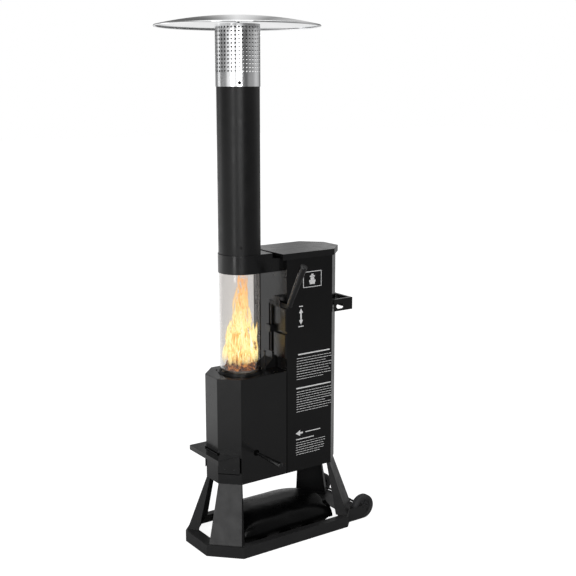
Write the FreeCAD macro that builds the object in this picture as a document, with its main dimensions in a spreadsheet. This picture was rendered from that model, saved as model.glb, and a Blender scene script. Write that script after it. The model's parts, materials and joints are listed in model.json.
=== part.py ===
import FreeCAD, Part
import math
import os
import Sketcher
from FreeCAD import Placement, Rotation, Vector

# Pellet patio heater, in millimetres.
# The origin is on the ground under the middle of the base ring and +Z is up.
# +X points to the pellet hopper and the wheels, -X to the firebox with its glass column,
# and -Y is the near side with the feed lever.

SIZES = {
    # Sheet thicknesses and fits
    "sheet_wall": 2,
    "thin_wall": 1.5,
    "seat_gap": 0.3,
    "running_gap": 0.05,
    "screw_radius": 3.5,
    "screw_head": 2,
    "face_screw_setback": 8,
    "face_screw_drop": 95,
    "plate_screw_circle": 102,
    "tall_bolt_rise": 78,
    "tall_bolt_head": 4,
    "pipe_screw_rise": 33,
    "sleeve_screw_rise": 14.5,
    "shelf_rivet_drop": 62,
    "handle_rivet_rise": 12,
    "handle_rivet_pitch": 28,
    # Base ring and the straps under the ballast bag
    "ring_half_length": 380,
    "ring_half_width": 197.5,
    "ring_chamfer": 111,
    "ring_height": 49,
    "ring_side_flange": 31.5,
    "ring_front_flange": 48,
    "ring_back_flange": 107,
    "ring_corner_length": 36,
    "ring_corner_width": 62,
    "ring_front_corner": 102,
    "ring_hole_radius": 3.5,
    "ring_hole_setback": 176,
    "ring_hole_inset": 17.5,
    "strap_width": 60,
    "strap_pitch": 120,
    # Legs
    "leg_rise": 234,
    "leg_inset": 5.3,
    "leg_foot_half": 68.6,
    "leg_top_flange": 14,
    "leg_foot_flange": 50,
    "leg_foot_tab": 28,
    "leg_top_tab": 25,
    "leg_bolt_inset": 20,
    # Ballast bag
    "bag_half_length": 230,
    "bag_half_width": 152,
    "bag_height": 130,
    # Transport wheels
    "wheel_radius": 54,
    "wheel_width": 28,
    "wheel_middle": 156,
    "wheel_lift": 2,
    "axle_reach": 381,
    "axle_radius": 5,
    "hub_radius": 38,
    "hub_rim": 6,
    "tyre_bevel": 5,
    "groove_width": 2.5,
    "groove_pitch": 6,
    "fork_gap": 0.5,
    "fork_rise": 9,
    "fork_reach": 12,
    "fork_foot": 6,
    "fork_corner": 26,
    # Body
    "body_half_width": 117,
    "body_chamfer": 70,
    "firebox_length": 296,
    "firebox_rise": 448,
    "hopper_length": 302,
    "hopper_rise": 940.3,
    "slope_rise": 697,
    "slope_drop": 38,
    # Lid and its hinges
    "lid_overhang": 9.4,
    "lid_front": 25,
    "lid_lip": 25.6,
    "lid_front_lip": 12,
    "hinge_reach": 17,
    "hinge_drop": 27.3,
    "knuckle_radius": 4,
    "pin_radius": 1.95,
    "hinge_length": 50,
    "wall_leaf_drop": 32,
    "lid_leaf_rise": 18,
    "hinge_first": 60,
    "hinge_pitch": 120,
    # Column above the firebox
    "column_setback": 152.6,
    "glass_radius": 85.5,
    "glass_wall": 5,
    "glass_foot": 7,
    "flame_height": 420,
    "glass_tuck": 14,
    "collar_radius": 89,
    "collar_rise": 75.5,
    "collar_step_length": 50,
    "collar_step_drop": 21.5,
    "flue_radius": 80,
    "pipe_radius": 86,
    "pipe_length": 697,
    "spigot_height": 47,
    "sleeve_wall": 2,
    "sleeve_overlap": 35.5,
    "sleeve_length": 235.5,
    # Reflector
    "spacer_rise": 27.5,
    "spacer_radius": 14,
    "dish_radius": 20,
    "dish_depth": 4,
    "reflector_radius": 326,
    "reflector_drop": 43,
    "roll_radius": 3.5,
    # Fire pot, grate and ash parts
    "pot_radius": 72,
    "pot_height": 17,
    "pot_depth": 106,
    "grate_thickness": 4,
    "grate_slot_pitch": 22,
    "grate_slot_half": 4,
    "grate_slot_reach": 52,
    "grate_slot_step": 7,
    "ash_tube_radius": 62,
    "ash_slide_rise": 125,
    "ash_slide_half": 68,
    "slide_thickness": 4,
    "slide_slot": 14,
    "slide_pitch": 36,
    "slide_slot_reach": 42,
    "slide_rail": 8,
    "pull_rod_gap": 1,
    "pull_rod_radius": 5,
    "pull_rod_end": 127,
    "pull_grip_radius": 11.5,
    "pull_grip_foot_radius": 6,
    "pull_grip_length": 168,
    "drawer_half_width": 68,
    "drawer_height": 98,
    "drawer_near_end": 100,
    "drawer_panel_lap": 9,
    "drawer_pull_reach": 26,
    "drawer_pull_half": 34,
    "drawer_pull_bar": 6,
    "drawer_pull_height": 12,
    "drawer_runner_rise": 16,
    # Feed chute, gate and lever
    "chute_half_width": 30,
    "chute_rise": 19,
    "chute_half_height": 32.5,
    "chute_sheet": 2.9,
    "gate_setback": 13,
    "gate_half_width": 28,
    "gate_drop": 10,
    "gate_height": 60,
    "gate_slot_gap": 0.5,
    "rod_top_gap": 1.2,
    "rod_radius": 3,
    "rod_offset": 20,
    "guide_gap": 87,
    "guide_height": 29,
    "guide_half_width": 17.5,
    "guide_depth": 30,
    "cover_drop": 7,
    "cover_spacing": 13,
    "upper_cover_width": 67,
    "upper_cover_height": 97,
    "upper_cover_depth": 8,
    "lower_cover_width": 82,
    "lower_cover_height": 100,
    "lower_cover_depth": 10,
    "pan_setback": 52,
    "pan_rise": 54,
    "pan_depth": 12,
    "channel_depth": 16,
    "slot_offset": 6.5,
    "slot_half_width": 22.5,
    "slot_rise": 42,
    "slot_drop": 3,
    "pivot_offset": 80,
    "pivot_rise": 281,
    "pivot_radius": 4,
    "bracket_side": 22,
    "bracket_rise": 34,
    "arm_half_height": 9,
    "arm_thickness": 4,
    "grip_foot_offset": 147,
    "grip_foot_drop": 5,
    "grip_lean": 29.8,
    "grip_length": 215,
    "grip_foot_radius": 11,
    "grip_top_radius": 15,
    "stem_radius": 6,
    "stem_length": 172,
    "stem_tuck": 8,
    "grip_round": 2.75,
    # Handles
    "shelf_rise": 127,
    "shelf_reach": 40,
    "shelf_lip": 20,
    "shelf_flange_drop": 80,
    "shelf_flange_sheet": 2.5,
    "shelf_flange_standoff": 3,
    "shelf_end_gap": 5,
    "shelf_slot": 4,
    "shelf_slot_end": 2,
    "hook_slot_drop": 12,
    "hook_slot_height": 66,
    "hook_slot_width": 5,
    "handle_rise": 670,
    "handle_height": 52,
    "handle_reach": 40,
    "handle_start": 243,
    "handle_flange": 12,
    "cheek_flange": 30,
    "window_rise": 10,
    "window_height": 22,
    "window_start": 257,
    "window_length": 37,
    "window_corner": 7,
}

doc = FreeCAD.newDocument("pellet_patio_heater")
sheet = doc.addObject("Spreadsheet::Sheet", "sizes")
for row, (alias, size) in enumerate(SIZES.items(), start=1):
    sheet.set(f"A{row}", alias)
    sheet.set(f"B{row}", str(size))
    sheet.setAlias(f"B{row}", alias)
doc.recompute()


class Formula:
    """A length held both as a number and as a formula over the sheet's cells."""

    def __init__(self, text, number):
        self.text = text
        self.number = number

    def __float__(self):
        return self.number

    def __add__(self, other):
        return Formula(f"({self.text} + {words(other)})", self.number + float(other))

    def __radd__(self, other):
        return Formula(f"({words(other)} + {self.text})", float(other) + self.number)

    def __sub__(self, other):
        return Formula(f"({self.text} - {words(other)})", self.number - float(other))

    def __rsub__(self, other):
        return Formula(f"({words(other)} - {self.text})", float(other) - self.number)

    def __mul__(self, other):
        return Formula(f"({self.text} * {words(other)})", self.number * float(other))

    def __rmul__(self, other):
        return Formula(f"({words(other)} * {self.text})", float(other) * self.number)

    def __truediv__(self, other):
        return Formula(f"({self.text} / {words(other)})", self.number / float(other))

    def __neg__(self):
        return Formula(f"(0 - {self.text})", -self.number)


def words(length):
    """The formula text of a bound length or of a plain number."""
    if isinstance(length, Formula):
        return length.text
    return f"({float(length)!r})"


class Sizes:
    """The sheet's cells as attributes."""

    def __getattr__(self, alias):
        return Formula(f"sizes.{alias}", float(sheet.get(alias)))


s = Sizes()
nodes = {}

# Half the turn of a 45 degree corner: how far such a corner moves along its side per unit of offset
CORNER_SHIFT = math.tan(math.radians(22.5))
DIAGONAL = math.sqrt(0.5)


def bind(item, key, length):
    """Tie one property of an object to the sheet."""
    item.setExpression(key, words(length))


def place(item, x, y, z):
    """Bind where an object stands."""
    for axis, length in zip("xyz", (x, y, z)):
        bind(item, f"Placement.Base.{axis}", length)
    return item


def node(name, item):
    """Name a finished sub-part and list it for export."""
    item.Label = name
    nodes[name] = item
    return item


def loose_body(name):
    return doc.addObject("PartDesign::Body", name)


def new_body(name):
    return node(name, loose_body(name))


def pin_along(sketch, kind, axis, shape, point, length):
    """Fix one coordinate of a sketch's point."""
    if isinstance(length, Formula):
        index = sketch.addConstraint(Sketcher.Constraint(kind, -1, 1, shape, point, float(length)))
        sketch.setExpression(f"Constraints[{index}]", words(length))
    elif length == 0:
        sketch.addConstraint(Sketcher.Constraint("PointOnObject", shape, point, axis))
    else:
        sketch.addConstraint(Sketcher.Constraint(kind, -1, 1, shape, point, float(length)))


def pin_x(sketch, shape, point, x):
    pin_along(sketch, "DistanceX", -2, shape, point, x)


def pin_point(sketch, shape, point, x, y):
    """Fix a point of a sketch at bound coordinates."""
    pin_x(sketch, shape, point, x)
    pin_along(sketch, "DistanceY", -1, shape, point, y)


def draw_outline(sketch, corners):
    """A closed outline of straight lines through bound corners."""
    first = sketch.GeometryCount
    ends = [Vector(float(x), float(y), 0) for x, y in corners]
    for start, end in zip(ends, ends[1:] + ends[:1]):
        sketch.addGeometry(Part.LineSegment(start, end), False)
    for index, (x, y) in enumerate(corners):
        following = first + (index + 1) % len(corners)
        sketch.addConstraint(Sketcher.Constraint("Coincident", first + index, 2, following, 1))
        pin_point(sketch, first + index, 1, x, y)


def draw_circle(sketch, x, y, radius):
    centre = Vector(float(x), float(y), 0)
    shape = sketch.addGeometry(Part.Circle(centre, Vector(0, 0, 1), float(radius)), False)
    pin_point(sketch, shape, 3, x, y)
    index = sketch.addConstraint(Sketcher.Constraint("Radius", shape, float(radius)))
    sketch.setExpression(f"Constraints[{index}]", words(radius))


def new_sketch(body, plane, offset, outlines=(), circles=()):
    """A sketch on one of the body's origin planes, moved along that plane's normal."""
    sketch = body.newObject("Sketcher::SketchObject", f"{body.Name}_sketch")
    support = next(item for item in body.Origin.OriginFeatures if item.Role == plane)
    sketch.AttachmentSupport = [(support, "")]
    sketch.MapMode = "FlatFace"
    bind(sketch, "AttachmentOffset.Base.z", offset)
    for corners in outlines:
        draw_outline(sketch, corners)
    for circle in circles:
        draw_circle(sketch, *circle)
    return sketch


def pad(body, plane, offset, length, outlines=(), circles=()):
    """Raise outlines along the plane's normal: +Z from XY, -Y from XZ and +X from YZ."""
    feature = body.newObject("PartDesign::Pad", f"{body.Name}_pad")
    feature.Profile = new_sketch(body, plane, offset, outlines, circles)
    bind(feature, "Length", length)
    return feature


def pocket(body, plane, offset, length, outlines=(), circles=()):
    """Cut outlines against the plane's normal: -Z from XY, +Y from XZ and -X from YZ."""
    feature = body.newObject("PartDesign::Pocket", f"{body.Name}_pocket")
    feature.Profile = new_sketch(body, plane, offset, outlines, circles)
    bind(feature, "Length", length)
    return feature


def turned(name, plane, corners, x, y, z):
    """A solid turned about the vertical axis of its sketch plane."""
    body = new_body(name)
    feature = body.newObject("PartDesign::Revolution", f"{name}_turn")
    feature.Profile = new_sketch(body, plane, 0, [corners])
    feature.ReferenceAxis = (feature.Profile[0], ["V_Axis"])
    place(body, x, y, z)
    return body


def loose_tube(name, x, y, foot, height, outer, inner):
    """A plain round tube or ring that stands upright."""
    body = loose_body(name)
    pad(body, "XY_Plane", foot, height, circles=[(x, y, outer), (x, y, inner)])
    return body


def tube(name, x, y, foot, height, outer, inner):
    return node(name, loose_tube(name, x, y, foot, height, outer, inner))


def rectangle(left, right, low, high):
    return [(left, low), (right, low), (right, high), (left, high)]


def box(name, low, high):
    """A block between two corners."""
    item = doc.addObject("Part::Box", name)
    for key, start, end in zip(("Length", "Width", "Height"), low, high):
        bind(item, key, end - start)
    return place(item, *low)


def rod(name, radius, start, axis, length):
    """A round bar that starts at a point and runs along one of the axes."""
    item = doc.addObject("Part::Cylinder", name)
    item.Placement = Placement(Vector(), Rotation(Vector(0, 0, 1), axis))
    bind(item, "Radius", radius)
    bind(item, "Height", length)
    return place(item, *start)


def fuse(name, *items):
    item = doc.addObject("Part::MultiFuse", name)
    item.Shapes = items
    return item


def cut(name, base, *tools):
    """A base with tools taken away."""
    item = doc.addObject("Part::Cut", name)
    item.Base = base
    item.Tool = tools[0] if len(tools) == 1 else fuse(f"{name}_tools", *tools)
    return item


def group(name, items):
    """Separate solids that share one node."""
    item = doc.addObject("Part::Compound", name)
    item.Links = items
    return node(name, item)


def solid(name, shape):
    """A shape made by hand, as a sub-part."""
    item = doc.addObject("Part::Feature", name)
    item.Shape = shape
    return item


X_AXIS = Vector(1, 0, 0)
Y_AXIS = Vector(0, 1, 0)
Z_AXIS = Vector(0, 0, 1)

# Turns about the column, in degrees from +X
COLUMN_SCREW_ANGLES = (-118, 2, 122)
PLATE_SCREW_ANGLES = (138, 65)
TALL_BOLT_ANGLE = -25

# Heights and places that follow from the sizes above
column_x = -s.column_setback
body_bottom = s.ring_height + s.leg_rise
floor_top = body_bottom + s.sheet_wall
firebox_top = body_bottom + s.firebox_rise
plate_foot = firebox_top - s.sheet_wall
hopper_rim = body_bottom + s.hopper_rise
lid_seat = hopper_rim + s.seat_gap
lid_top = lid_seat + s.sheet_wall
hinge_y = s.body_half_width + s.hinge_reach
hinge_z = hopper_rim - s.hinge_drop
glass_bottom = firebox_top + s.glass_foot
collar_foot = firebox_top + s.flame_height
collar_top = collar_foot + s.collar_rise
pipe_foot = collar_top + s.thin_wall
sleeve_foot = pipe_foot + s.pipe_length - s.sleeve_overlap
sleeve_top = sleeve_foot + s.sleeve_length
reflector_seat = sleeve_top + s.sheet_wall + s.spacer_rise
reflector_top = reflector_seat + s.thin_wall + s.dish_depth
pot_foot = firebox_top - s.pot_depth
axle_z = s.wheel_radius + s.wheel_lift
ash_slide_z = body_bottom + s.ash_slide_rise
shelf_z = body_bottom + s.shelf_rise
handle_z = body_bottom + s.handle_rise
chute_z = firebox_top + s.chute_rise
gate_foot = chute_z - s.gate_drop
gate_top = gate_foot + s.gate_height
pan_near = s.sheet_wall + s.thin_wall - s.body_half_width
pan_foot = firebox_top + s.sheet_wall
pivot_z = firebox_top + s.pivot_rise
arm_foot = pivot_z - s.arm_half_height
slot_foot = chute_z + s.slot_rise
slot_top = arm_foot - s.slot_drop
upper_cover_foot = arm_foot - s.cover_drop - s.upper_cover_height
lower_cover_foot = upper_cover_foot - s.cover_spacing - s.lower_cover_height


def half_octagon(side, length, inset, start):
    """Plan outline of one end of the body: square at start, chamfered at the far end."""
    half = s.body_half_width - inset
    end = s.body_chamfer + CORNER_SHIFT * inset
    shoulder = side * (length - end)
    tip = side * (length - inset)
    corner = s.body_half_width - end
    return [(start, -half), (shoulder, -half), (tip, -corner), (tip, corner), (shoulder, half), (start, half)]


def ring_outline(inset):
    """Octagon of the base ring, moved in by an inset."""
    reach = s.ring_half_length - inset
    half = s.ring_half_width - inset
    end = s.ring_chamfer + (CORNER_SHIFT - 1) * inset
    corners = []
    for side_x, side_y in ((1, -1), (1, 1), (-1, 1), (-1, -1)):
        along = (side_x * (reach - end), side_y * half)
        across = (side_x * reach, side_y * (half - end))
        corners += [along, across] if side_x * side_y < 0 else [across, along]
    return corners


def base_ring():
    """Open octagonal frame: an upright wall with a flange folded inward at its top."""
    body = new_body("base_ring")
    pad(body, "XY_Plane", 0, s.ring_height, [ring_outline(0)])
    pocket(body, "XY_Plane", s.ring_height - s.sheet_wall, s.ring_height - s.sheet_wall,
           [ring_outline(s.sheet_wall)])
    front = s.ring_front_flange - s.ring_half_length
    back = s.ring_half_length - s.ring_back_flange
    half = s.ring_half_width - s.ring_side_flange
    shoulder = back - s.ring_corner_length
    corner = half - s.ring_corner_width
    cut_off = s.ring_front_corner
    opening = [(front, cut_off - half), (front + cut_off, -half), (shoulder, -half), (back, -corner),
               (back, corner), (shoulder, half), (front + cut_off, half), (front, half - cut_off)]
    hole_y = s.ring_half_width - s.ring_hole_inset
    holes = [(-s.ring_hole_setback, side * hole_y, s.ring_hole_radius) for side in (-1, 1)]
    pocket(body, "XY_Plane", s.ring_height, s.ring_height, [opening])
    pocket(body, "XY_Plane", s.ring_height, s.ring_height / 2, circles=holes)


def bag_straps():
    """Three flat straps across the ring that carry the ballast bag."""
    half = s.ring_half_width - s.sheet_wall
    straps = []
    for index, label in ((-1, "front"), (0, "middle"), (1, "back")):
        start = index * s.strap_pitch - s.strap_width / 2
        straps.append(box(f"bag_strap_{label}", (start, -half, 0),
                          (start + s.strap_width, half, s.sheet_wall)))
    group("bag_straps", straps)


def bag_section(x, half_width, low, low_middle, shoulder_z, top_middle, side_z):
    """One cross-section of the bag: bottom, two sides and top, each an arc."""
    foot = 0.76 * half_width
    shoulder = 0.7 * half_width

    def point(y, z):
        return Vector(x, y, z)

    arcs = [
        Part.Arc(point(-foot, low), point(0, low_middle), point(foot, low)),
        Part.Arc(point(foot, low), point(half_width, side_z), point(shoulder, shoulder_z)),
        Part.Arc(point(shoulder, shoulder_z), point(0, top_middle), point(-shoulder, shoulder_z)),
        Part.Arc(point(-shoulder, shoulder_z), point(-half_width, side_z), point(-foot, low)),
    ]
    return Part.Wire([arc.toShape() for arc in arcs])


def sandbag():
    """Pillow of sand, full in the middle and drawn to an arched seam at each end."""
    length = float(s.bag_half_length)
    half = float(s.bag_half_width)
    height = float(s.bag_height)
    rest = float(s.sheet_wall + s.seat_gap)
    sections = []
    for reach in (-1, -0.9, -0.62, 0, 0.62, 0.9, 1):
        share = abs(reach)
        x = reach * length
        if share == 1:
            section = bag_section(x, 0.86 * half, 0.2 * height, 0.7 * height,
                                  0.5 * height, 0.86 * height, 0.29 * height)
        elif share == 0.9:
            section = bag_section(x, 0.92 * half, rest + 0.04 * height, rest + 0.16 * height,
                                  0.7 * height, 0.93 * height, 0.34 * height)
        elif share == 0.62:
            section = bag_section(x, 0.98 * half, rest + 0.9, rest + 0.6, 0.84 * height,
                                  0.985 * height, 0.42 * height)
        else:
            section = bag_section(x, half, rest + 0.6, rest + 0.3, 0.86 * height, height,
                                  0.43 * height)
        sections.append(section)
    node("sandbag", solid("sandbag", Part.makeLoft(sections, True)))


def leg(name, side_x, side_y):
    """Tapered folded leg from a body corner down to a ring corner."""
    wall = float(s.sheet_wall)
    inward = Vector(-side_x, -side_y, 0) * DIAGONAL
    along = Vector(side_x, -side_y, 0) * DIAGONAL
    top_half = float(s.body_chamfer) * DIAGONAL
    top = Vector(side_x * float(s.firebox_length - s.body_chamfer / 2),
                 side_y * float(s.body_half_width - s.body_chamfer / 2), float(body_bottom))
    foot_half = float(s.leg_foot_half)
    foot = Vector(side_x * float(s.ring_half_length - s.ring_chamfer / 2),
                  side_y * float(s.ring_half_width - s.ring_chamfer / 2), float(s.ring_height))
    foot += inward * float(s.leg_inset)

    def sheet_piece(corners, thickness):
        return Part.Face(Part.makePolygon(corners + corners[:1])).extrude(thickness)

    pieces = []
    plate = [top - along * top_half, top + along * top_half,
             foot + along * foot_half, foot - along * foot_half]
    pieces.append(sheet_piece(plate, inward * wall))
    for end in (-1, 1):
        upper = top + along * top_half * end
        lower = foot + along * foot_half * end
        flange = [upper, upper + inward * float(s.leg_top_flange),
                  lower + inward * float(s.leg_foot_flange), lower]
        pieces.append(sheet_piece(flange, along * wall * -end))
    foot_tab = [foot - along * foot_half, foot + along * foot_half,
                foot + along * foot_half + inward * float(s.leg_foot_tab),
                foot - along * foot_half + inward * float(s.leg_foot_tab)]
    pieces.append(sheet_piece(foot_tab, Z_AXIS * wall))
    top_tab = [top - along * top_half, top + along * top_half,
               top + along * top_half + inward * float(s.leg_top_tab),
               top - along * top_half + inward * float(s.leg_top_tab)]
    pieces.append(sheet_piece(top_tab, Z_AXIS * -wall))
    node(name, solid(name, pieces[0].fuse(pieces[1:]).removeSplitter()))


def legs():
    for end, side_x in (("front", -1), ("back", 1)):
        for side, side_y in (("near", -1), ("far", 1)):
            leg(f"leg_{end}_{side}", side_x, side_y)


def fork_plates(side, label):
    """Two plates on the ring's chamfered corner that hold one wheel between them."""
    wall = s.sheet_wall
    half = s.wheel_width / 2 + s.fork_gap
    corner = s.ring_half_length + s.ring_half_width - s.ring_chamfer
    end = s.axle_reach + s.fork_reach
    foot = s.fork_foot
    top = axle_z + s.fork_rise
    plates = []
    for place_label, near in (("inner", s.wheel_middle - half - wall), ("outer", s.wheel_middle + half)):
        far = near + wall
        body = loose_body(f"fork_{place_label}_{label}")
        pad(body, "XY_Plane", foot, top - foot,
            [[(corner - near, side * near), (end, side * near),
              (end, side * far), (corner - far, side * far)]])
        start = -near if side > 0 else far
        cuts = [[(end - s.fork_corner, foot), (end, foot), (end, foot + s.fork_corner)],
                [(end, top), (end - s.fork_reach / 2, top), (end, top - s.fork_reach / 2)]]
        pocket(body, "XZ_Plane", start, wall, cuts, [(s.axle_reach, axle_z, s.axle_radius)])
        plates.append(body)
    return plates


def wheels():
    """Two free wheels on a fixed axle that runs through the fork plates."""
    half = s.wheel_width / 2
    end = s.wheel_middle + half + s.fork_gap + s.sheet_wall
    node("axle", rod("axle", s.axle_radius, (s.axle_reach, -end, axle_z), Y_AXIS, 2 * end))
    plates = []
    caps = []
    for side, label in ((-1, "near"), (1, "far")):
        plates += fork_plates(side, label)
        cap_start = end if side > 0 else -end - s.sheet_wall
        caps.append(rod(f"axle_cap_{label}", s.axle_radius + 2 * s.sheet_wall,
                        (s.axle_reach, cap_start, axle_z), Y_AXIS, s.sheet_wall))
        hub_bore = s.axle_radius + s.running_gap
        shoulder = s.hub_radius - s.hub_rim
        recess = half - s.hub_rim
        boss = s.axle_radius + s.hub_rim
        hub = [(hub_bore, -half), (boss, -half), (boss, -recess), (shoulder, -recess), (shoulder, -half),
               (s.hub_radius, -half), (s.hub_radius, half), (shoulder, half), (shoulder, recess),
               (boss, recess), (boss, half), (hub_bore, half)]
        turned(f"wheel_hub_{label}", "XY_Plane", hub, s.axle_reach, side * s.wheel_middle, axle_z)
        tread = s.wheel_radius
        groove = tread - s.thin_wall
        bevel = s.wheel_radius - s.tyre_bevel
        tyre = [(s.hub_radius, -half), (bevel, -half), (tread, s.tyre_bevel - half)]
        for middle in (-s.groove_pitch, 0, s.groove_pitch):
            low = middle - s.groove_width / 2
            high = middle + s.groove_width / 2
            tyre += [(tread, low), (groove, low), (groove, high), (tread, high)]
        tyre += [(tread, half - s.tyre_bevel), (bevel, half), (s.hub_radius, half)]
        turned(f"wheel_tyre_{label}", "XY_Plane", tyre, s.axle_reach, side * s.wheel_middle, axle_z)
    group("axle_brackets", plates)
    group("axle_collars", caps)


def body_floor():
    """Plate that closes the body below and lies on the four legs."""
    body = new_body("body_floor")
    front = half_octagon(-1, s.firebox_length, 0, 0)[1:5]
    back = half_octagon(1, s.hopper_length, 0, 0)[1:5]
    pad(body, "XY_Plane", body_bottom, s.sheet_wall, [back + front[::-1]])


def firebox_shell():
    """Chamfered casing of the firebox, open towards the hopper."""
    body = new_body("firebox_shell")
    outer = half_octagon(-1, s.firebox_length, 0, 0)
    inner = half_octagon(-1, s.firebox_length, s.sheet_wall, 0)
    pad(body, "XY_Plane", floor_top, plate_foot - floor_top, [outer + inner[::-1]])
    pocket(body, "XZ_Plane", s.body_half_width, s.sheet_wall,
           circles=[(column_x, ash_slide_z, s.pull_rod_radius + 2 * s.sheet_wall)])
    mouth = rectangle(column_x - s.drawer_half_width - s.sheet_wall,
                      column_x + s.drawer_half_width + s.sheet_wall,
                      floor_top,
                      floor_top + s.drawer_height + s.sheet_wall)
    pocket(body, "XZ_Plane", s.sheet_wall - s.body_half_width, s.sheet_wall, [mouth])
    start = s.body_chamfer - s.firebox_length
    outside = s.body_half_width + s.hook_slot_width
    inside = s.body_half_width - 2 * s.hook_slot_width
    for side in (-1, 1):
        slot = [(start - s.hook_slot_width, side * outside), (start, side * outside),
                (start, side * inside), (start - s.hook_slot_width, side * inside)]
        pocket(body, "XY_Plane", shelf_z - s.hook_slot_drop, s.hook_slot_height, [slot])


def firebox_top_plate():
    """Top of the firebox, with the round mouth for the fire pot and the gap for the feed chute."""
    body = new_body("firebox_top_plate")
    pad(body, "XY_Plane", plate_foot, s.sheet_wall, [half_octagon(-1, s.firebox_length, 0, 0)])
    chute_half = s.chute_half_width + s.sheet_wall
    reach = s.chute_half_height + s.chute_sheet + chute_z - plate_foot
    mouth = rectangle(-reach, 0, -chute_half, chute_half)
    pocket(body, "XY_Plane", firebox_top, s.sheet_wall, [mouth],
           [(column_x, 0, s.pot_radius + s.seat_gap)])


def hopper_shell():
    """Tall chamfered hopper with its own front wall."""
    body = new_body("hopper_shell")
    outer = half_octagon(1, s.hopper_length, 0, 0)
    inner = half_octagon(1, s.hopper_length, s.sheet_wall, s.sheet_wall)
    pad(body, "XY_Plane", floor_top, hopper_rim - floor_top, [outer, inner])
    rise = s.chute_half_height + s.chute_sheet
    half = s.chute_half_width + s.sheet_wall
    mouth = rectangle(-half, half, chute_z - rise, chute_z + s.sheet_wall + rise)
    slot = rectangle(-s.slot_offset - s.slot_half_width, s.slot_half_width - s.slot_offset,
                     slot_foot, slot_top)
    pan = rectangle(pan_near, -s.pan_setback, pan_foot, pan_foot + s.pan_rise)
    pocket(body, "YZ_Plane", s.sheet_wall, s.sheet_wall, [mouth, slot, pan])


def recessed_pans():
    """Two pressed pans behind the openings of the hopper's front wall."""
    near = -s.slot_offset - s.slot_half_width
    far = s.slot_half_width - s.slot_offset
    pans = {
        "rod_channel": (near, far, slot_foot, slot_top, s.channel_depth),
        "air_pan": (pan_near, -s.pan_setback, pan_foot, pan_foot + s.pan_rise, s.pan_depth),
    }
    bodies = []
    for name, (low_y, high_y, low_z, high_z, depth) in pans.items():
        wall = s.thin_wall
        body = loose_body(name)
        bodies.append(body)
        pad(body, "YZ_Plane", s.sheet_wall, depth + wall,
            [rectangle(low_y - wall, high_y + wall, low_z - wall, high_z + wall)])
        pocket(body, "YZ_Plane", s.sheet_wall + depth, depth, [rectangle(low_y, high_y, low_z, high_z)])
    group("face_pans", bodies)


def hopper_slope():
    """Sloping plate across the hopper that slides the pellets to the chute."""
    body = new_body("hopper_slope")
    front = s.sheet_wall
    back = s.hopper_length - s.sheet_wall
    half = s.body_half_width - s.sheet_wall
    low = chute_z - s.slope_drop
    high = body_bottom + s.slope_rise
    profile = [(front, low), (back, high), (back, high + s.sheet_wall), (front, low + s.sheet_wall)]
    pad(body, "XZ_Plane", -half, 2 * half, [profile])
    inner = half_octagon(1, s.hopper_length, s.sheet_wall, 0)
    clear = 2 * s.sheet_wall
    corners = []
    for side, shoulder, tip in ((-1, inner[1], inner[2]), (1, inner[4], inner[3])):
        outside = shoulder[1] + side * clear
        corners.append([shoulder, (shoulder[0], outside), (tip[0] + clear, outside),
                        (tip[0] + clear, tip[1]), tip])
    pocket(body, "XY_Plane", high + clear, high - low + 2 * clear, corners)


def hopper_lid():
    """Flat lid with folded lips that hang over the hopper's rim."""
    body = new_body("hopper_lid")
    over = -s.lid_overhang
    front = -s.lid_front
    outer = half_octagon(1, s.hopper_length, over, front)
    inner = half_octagon(1, s.hopper_length, over + s.sheet_wall, front)
    pad(body, "XY_Plane", lid_seat, s.sheet_wall, [outer])
    pad(body, "XY_Plane", lid_top - s.lid_lip, s.lid_lip - s.sheet_wall, [outer + inner[::-1]])
    half = s.body_half_width + s.lid_overhang - s.sheet_wall
    pad(body, "XY_Plane", lid_top - s.lid_front_lip, s.lid_front_lip - s.sheet_wall,
        [rectangle(front, front + s.sheet_wall, -half, half)])


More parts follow.
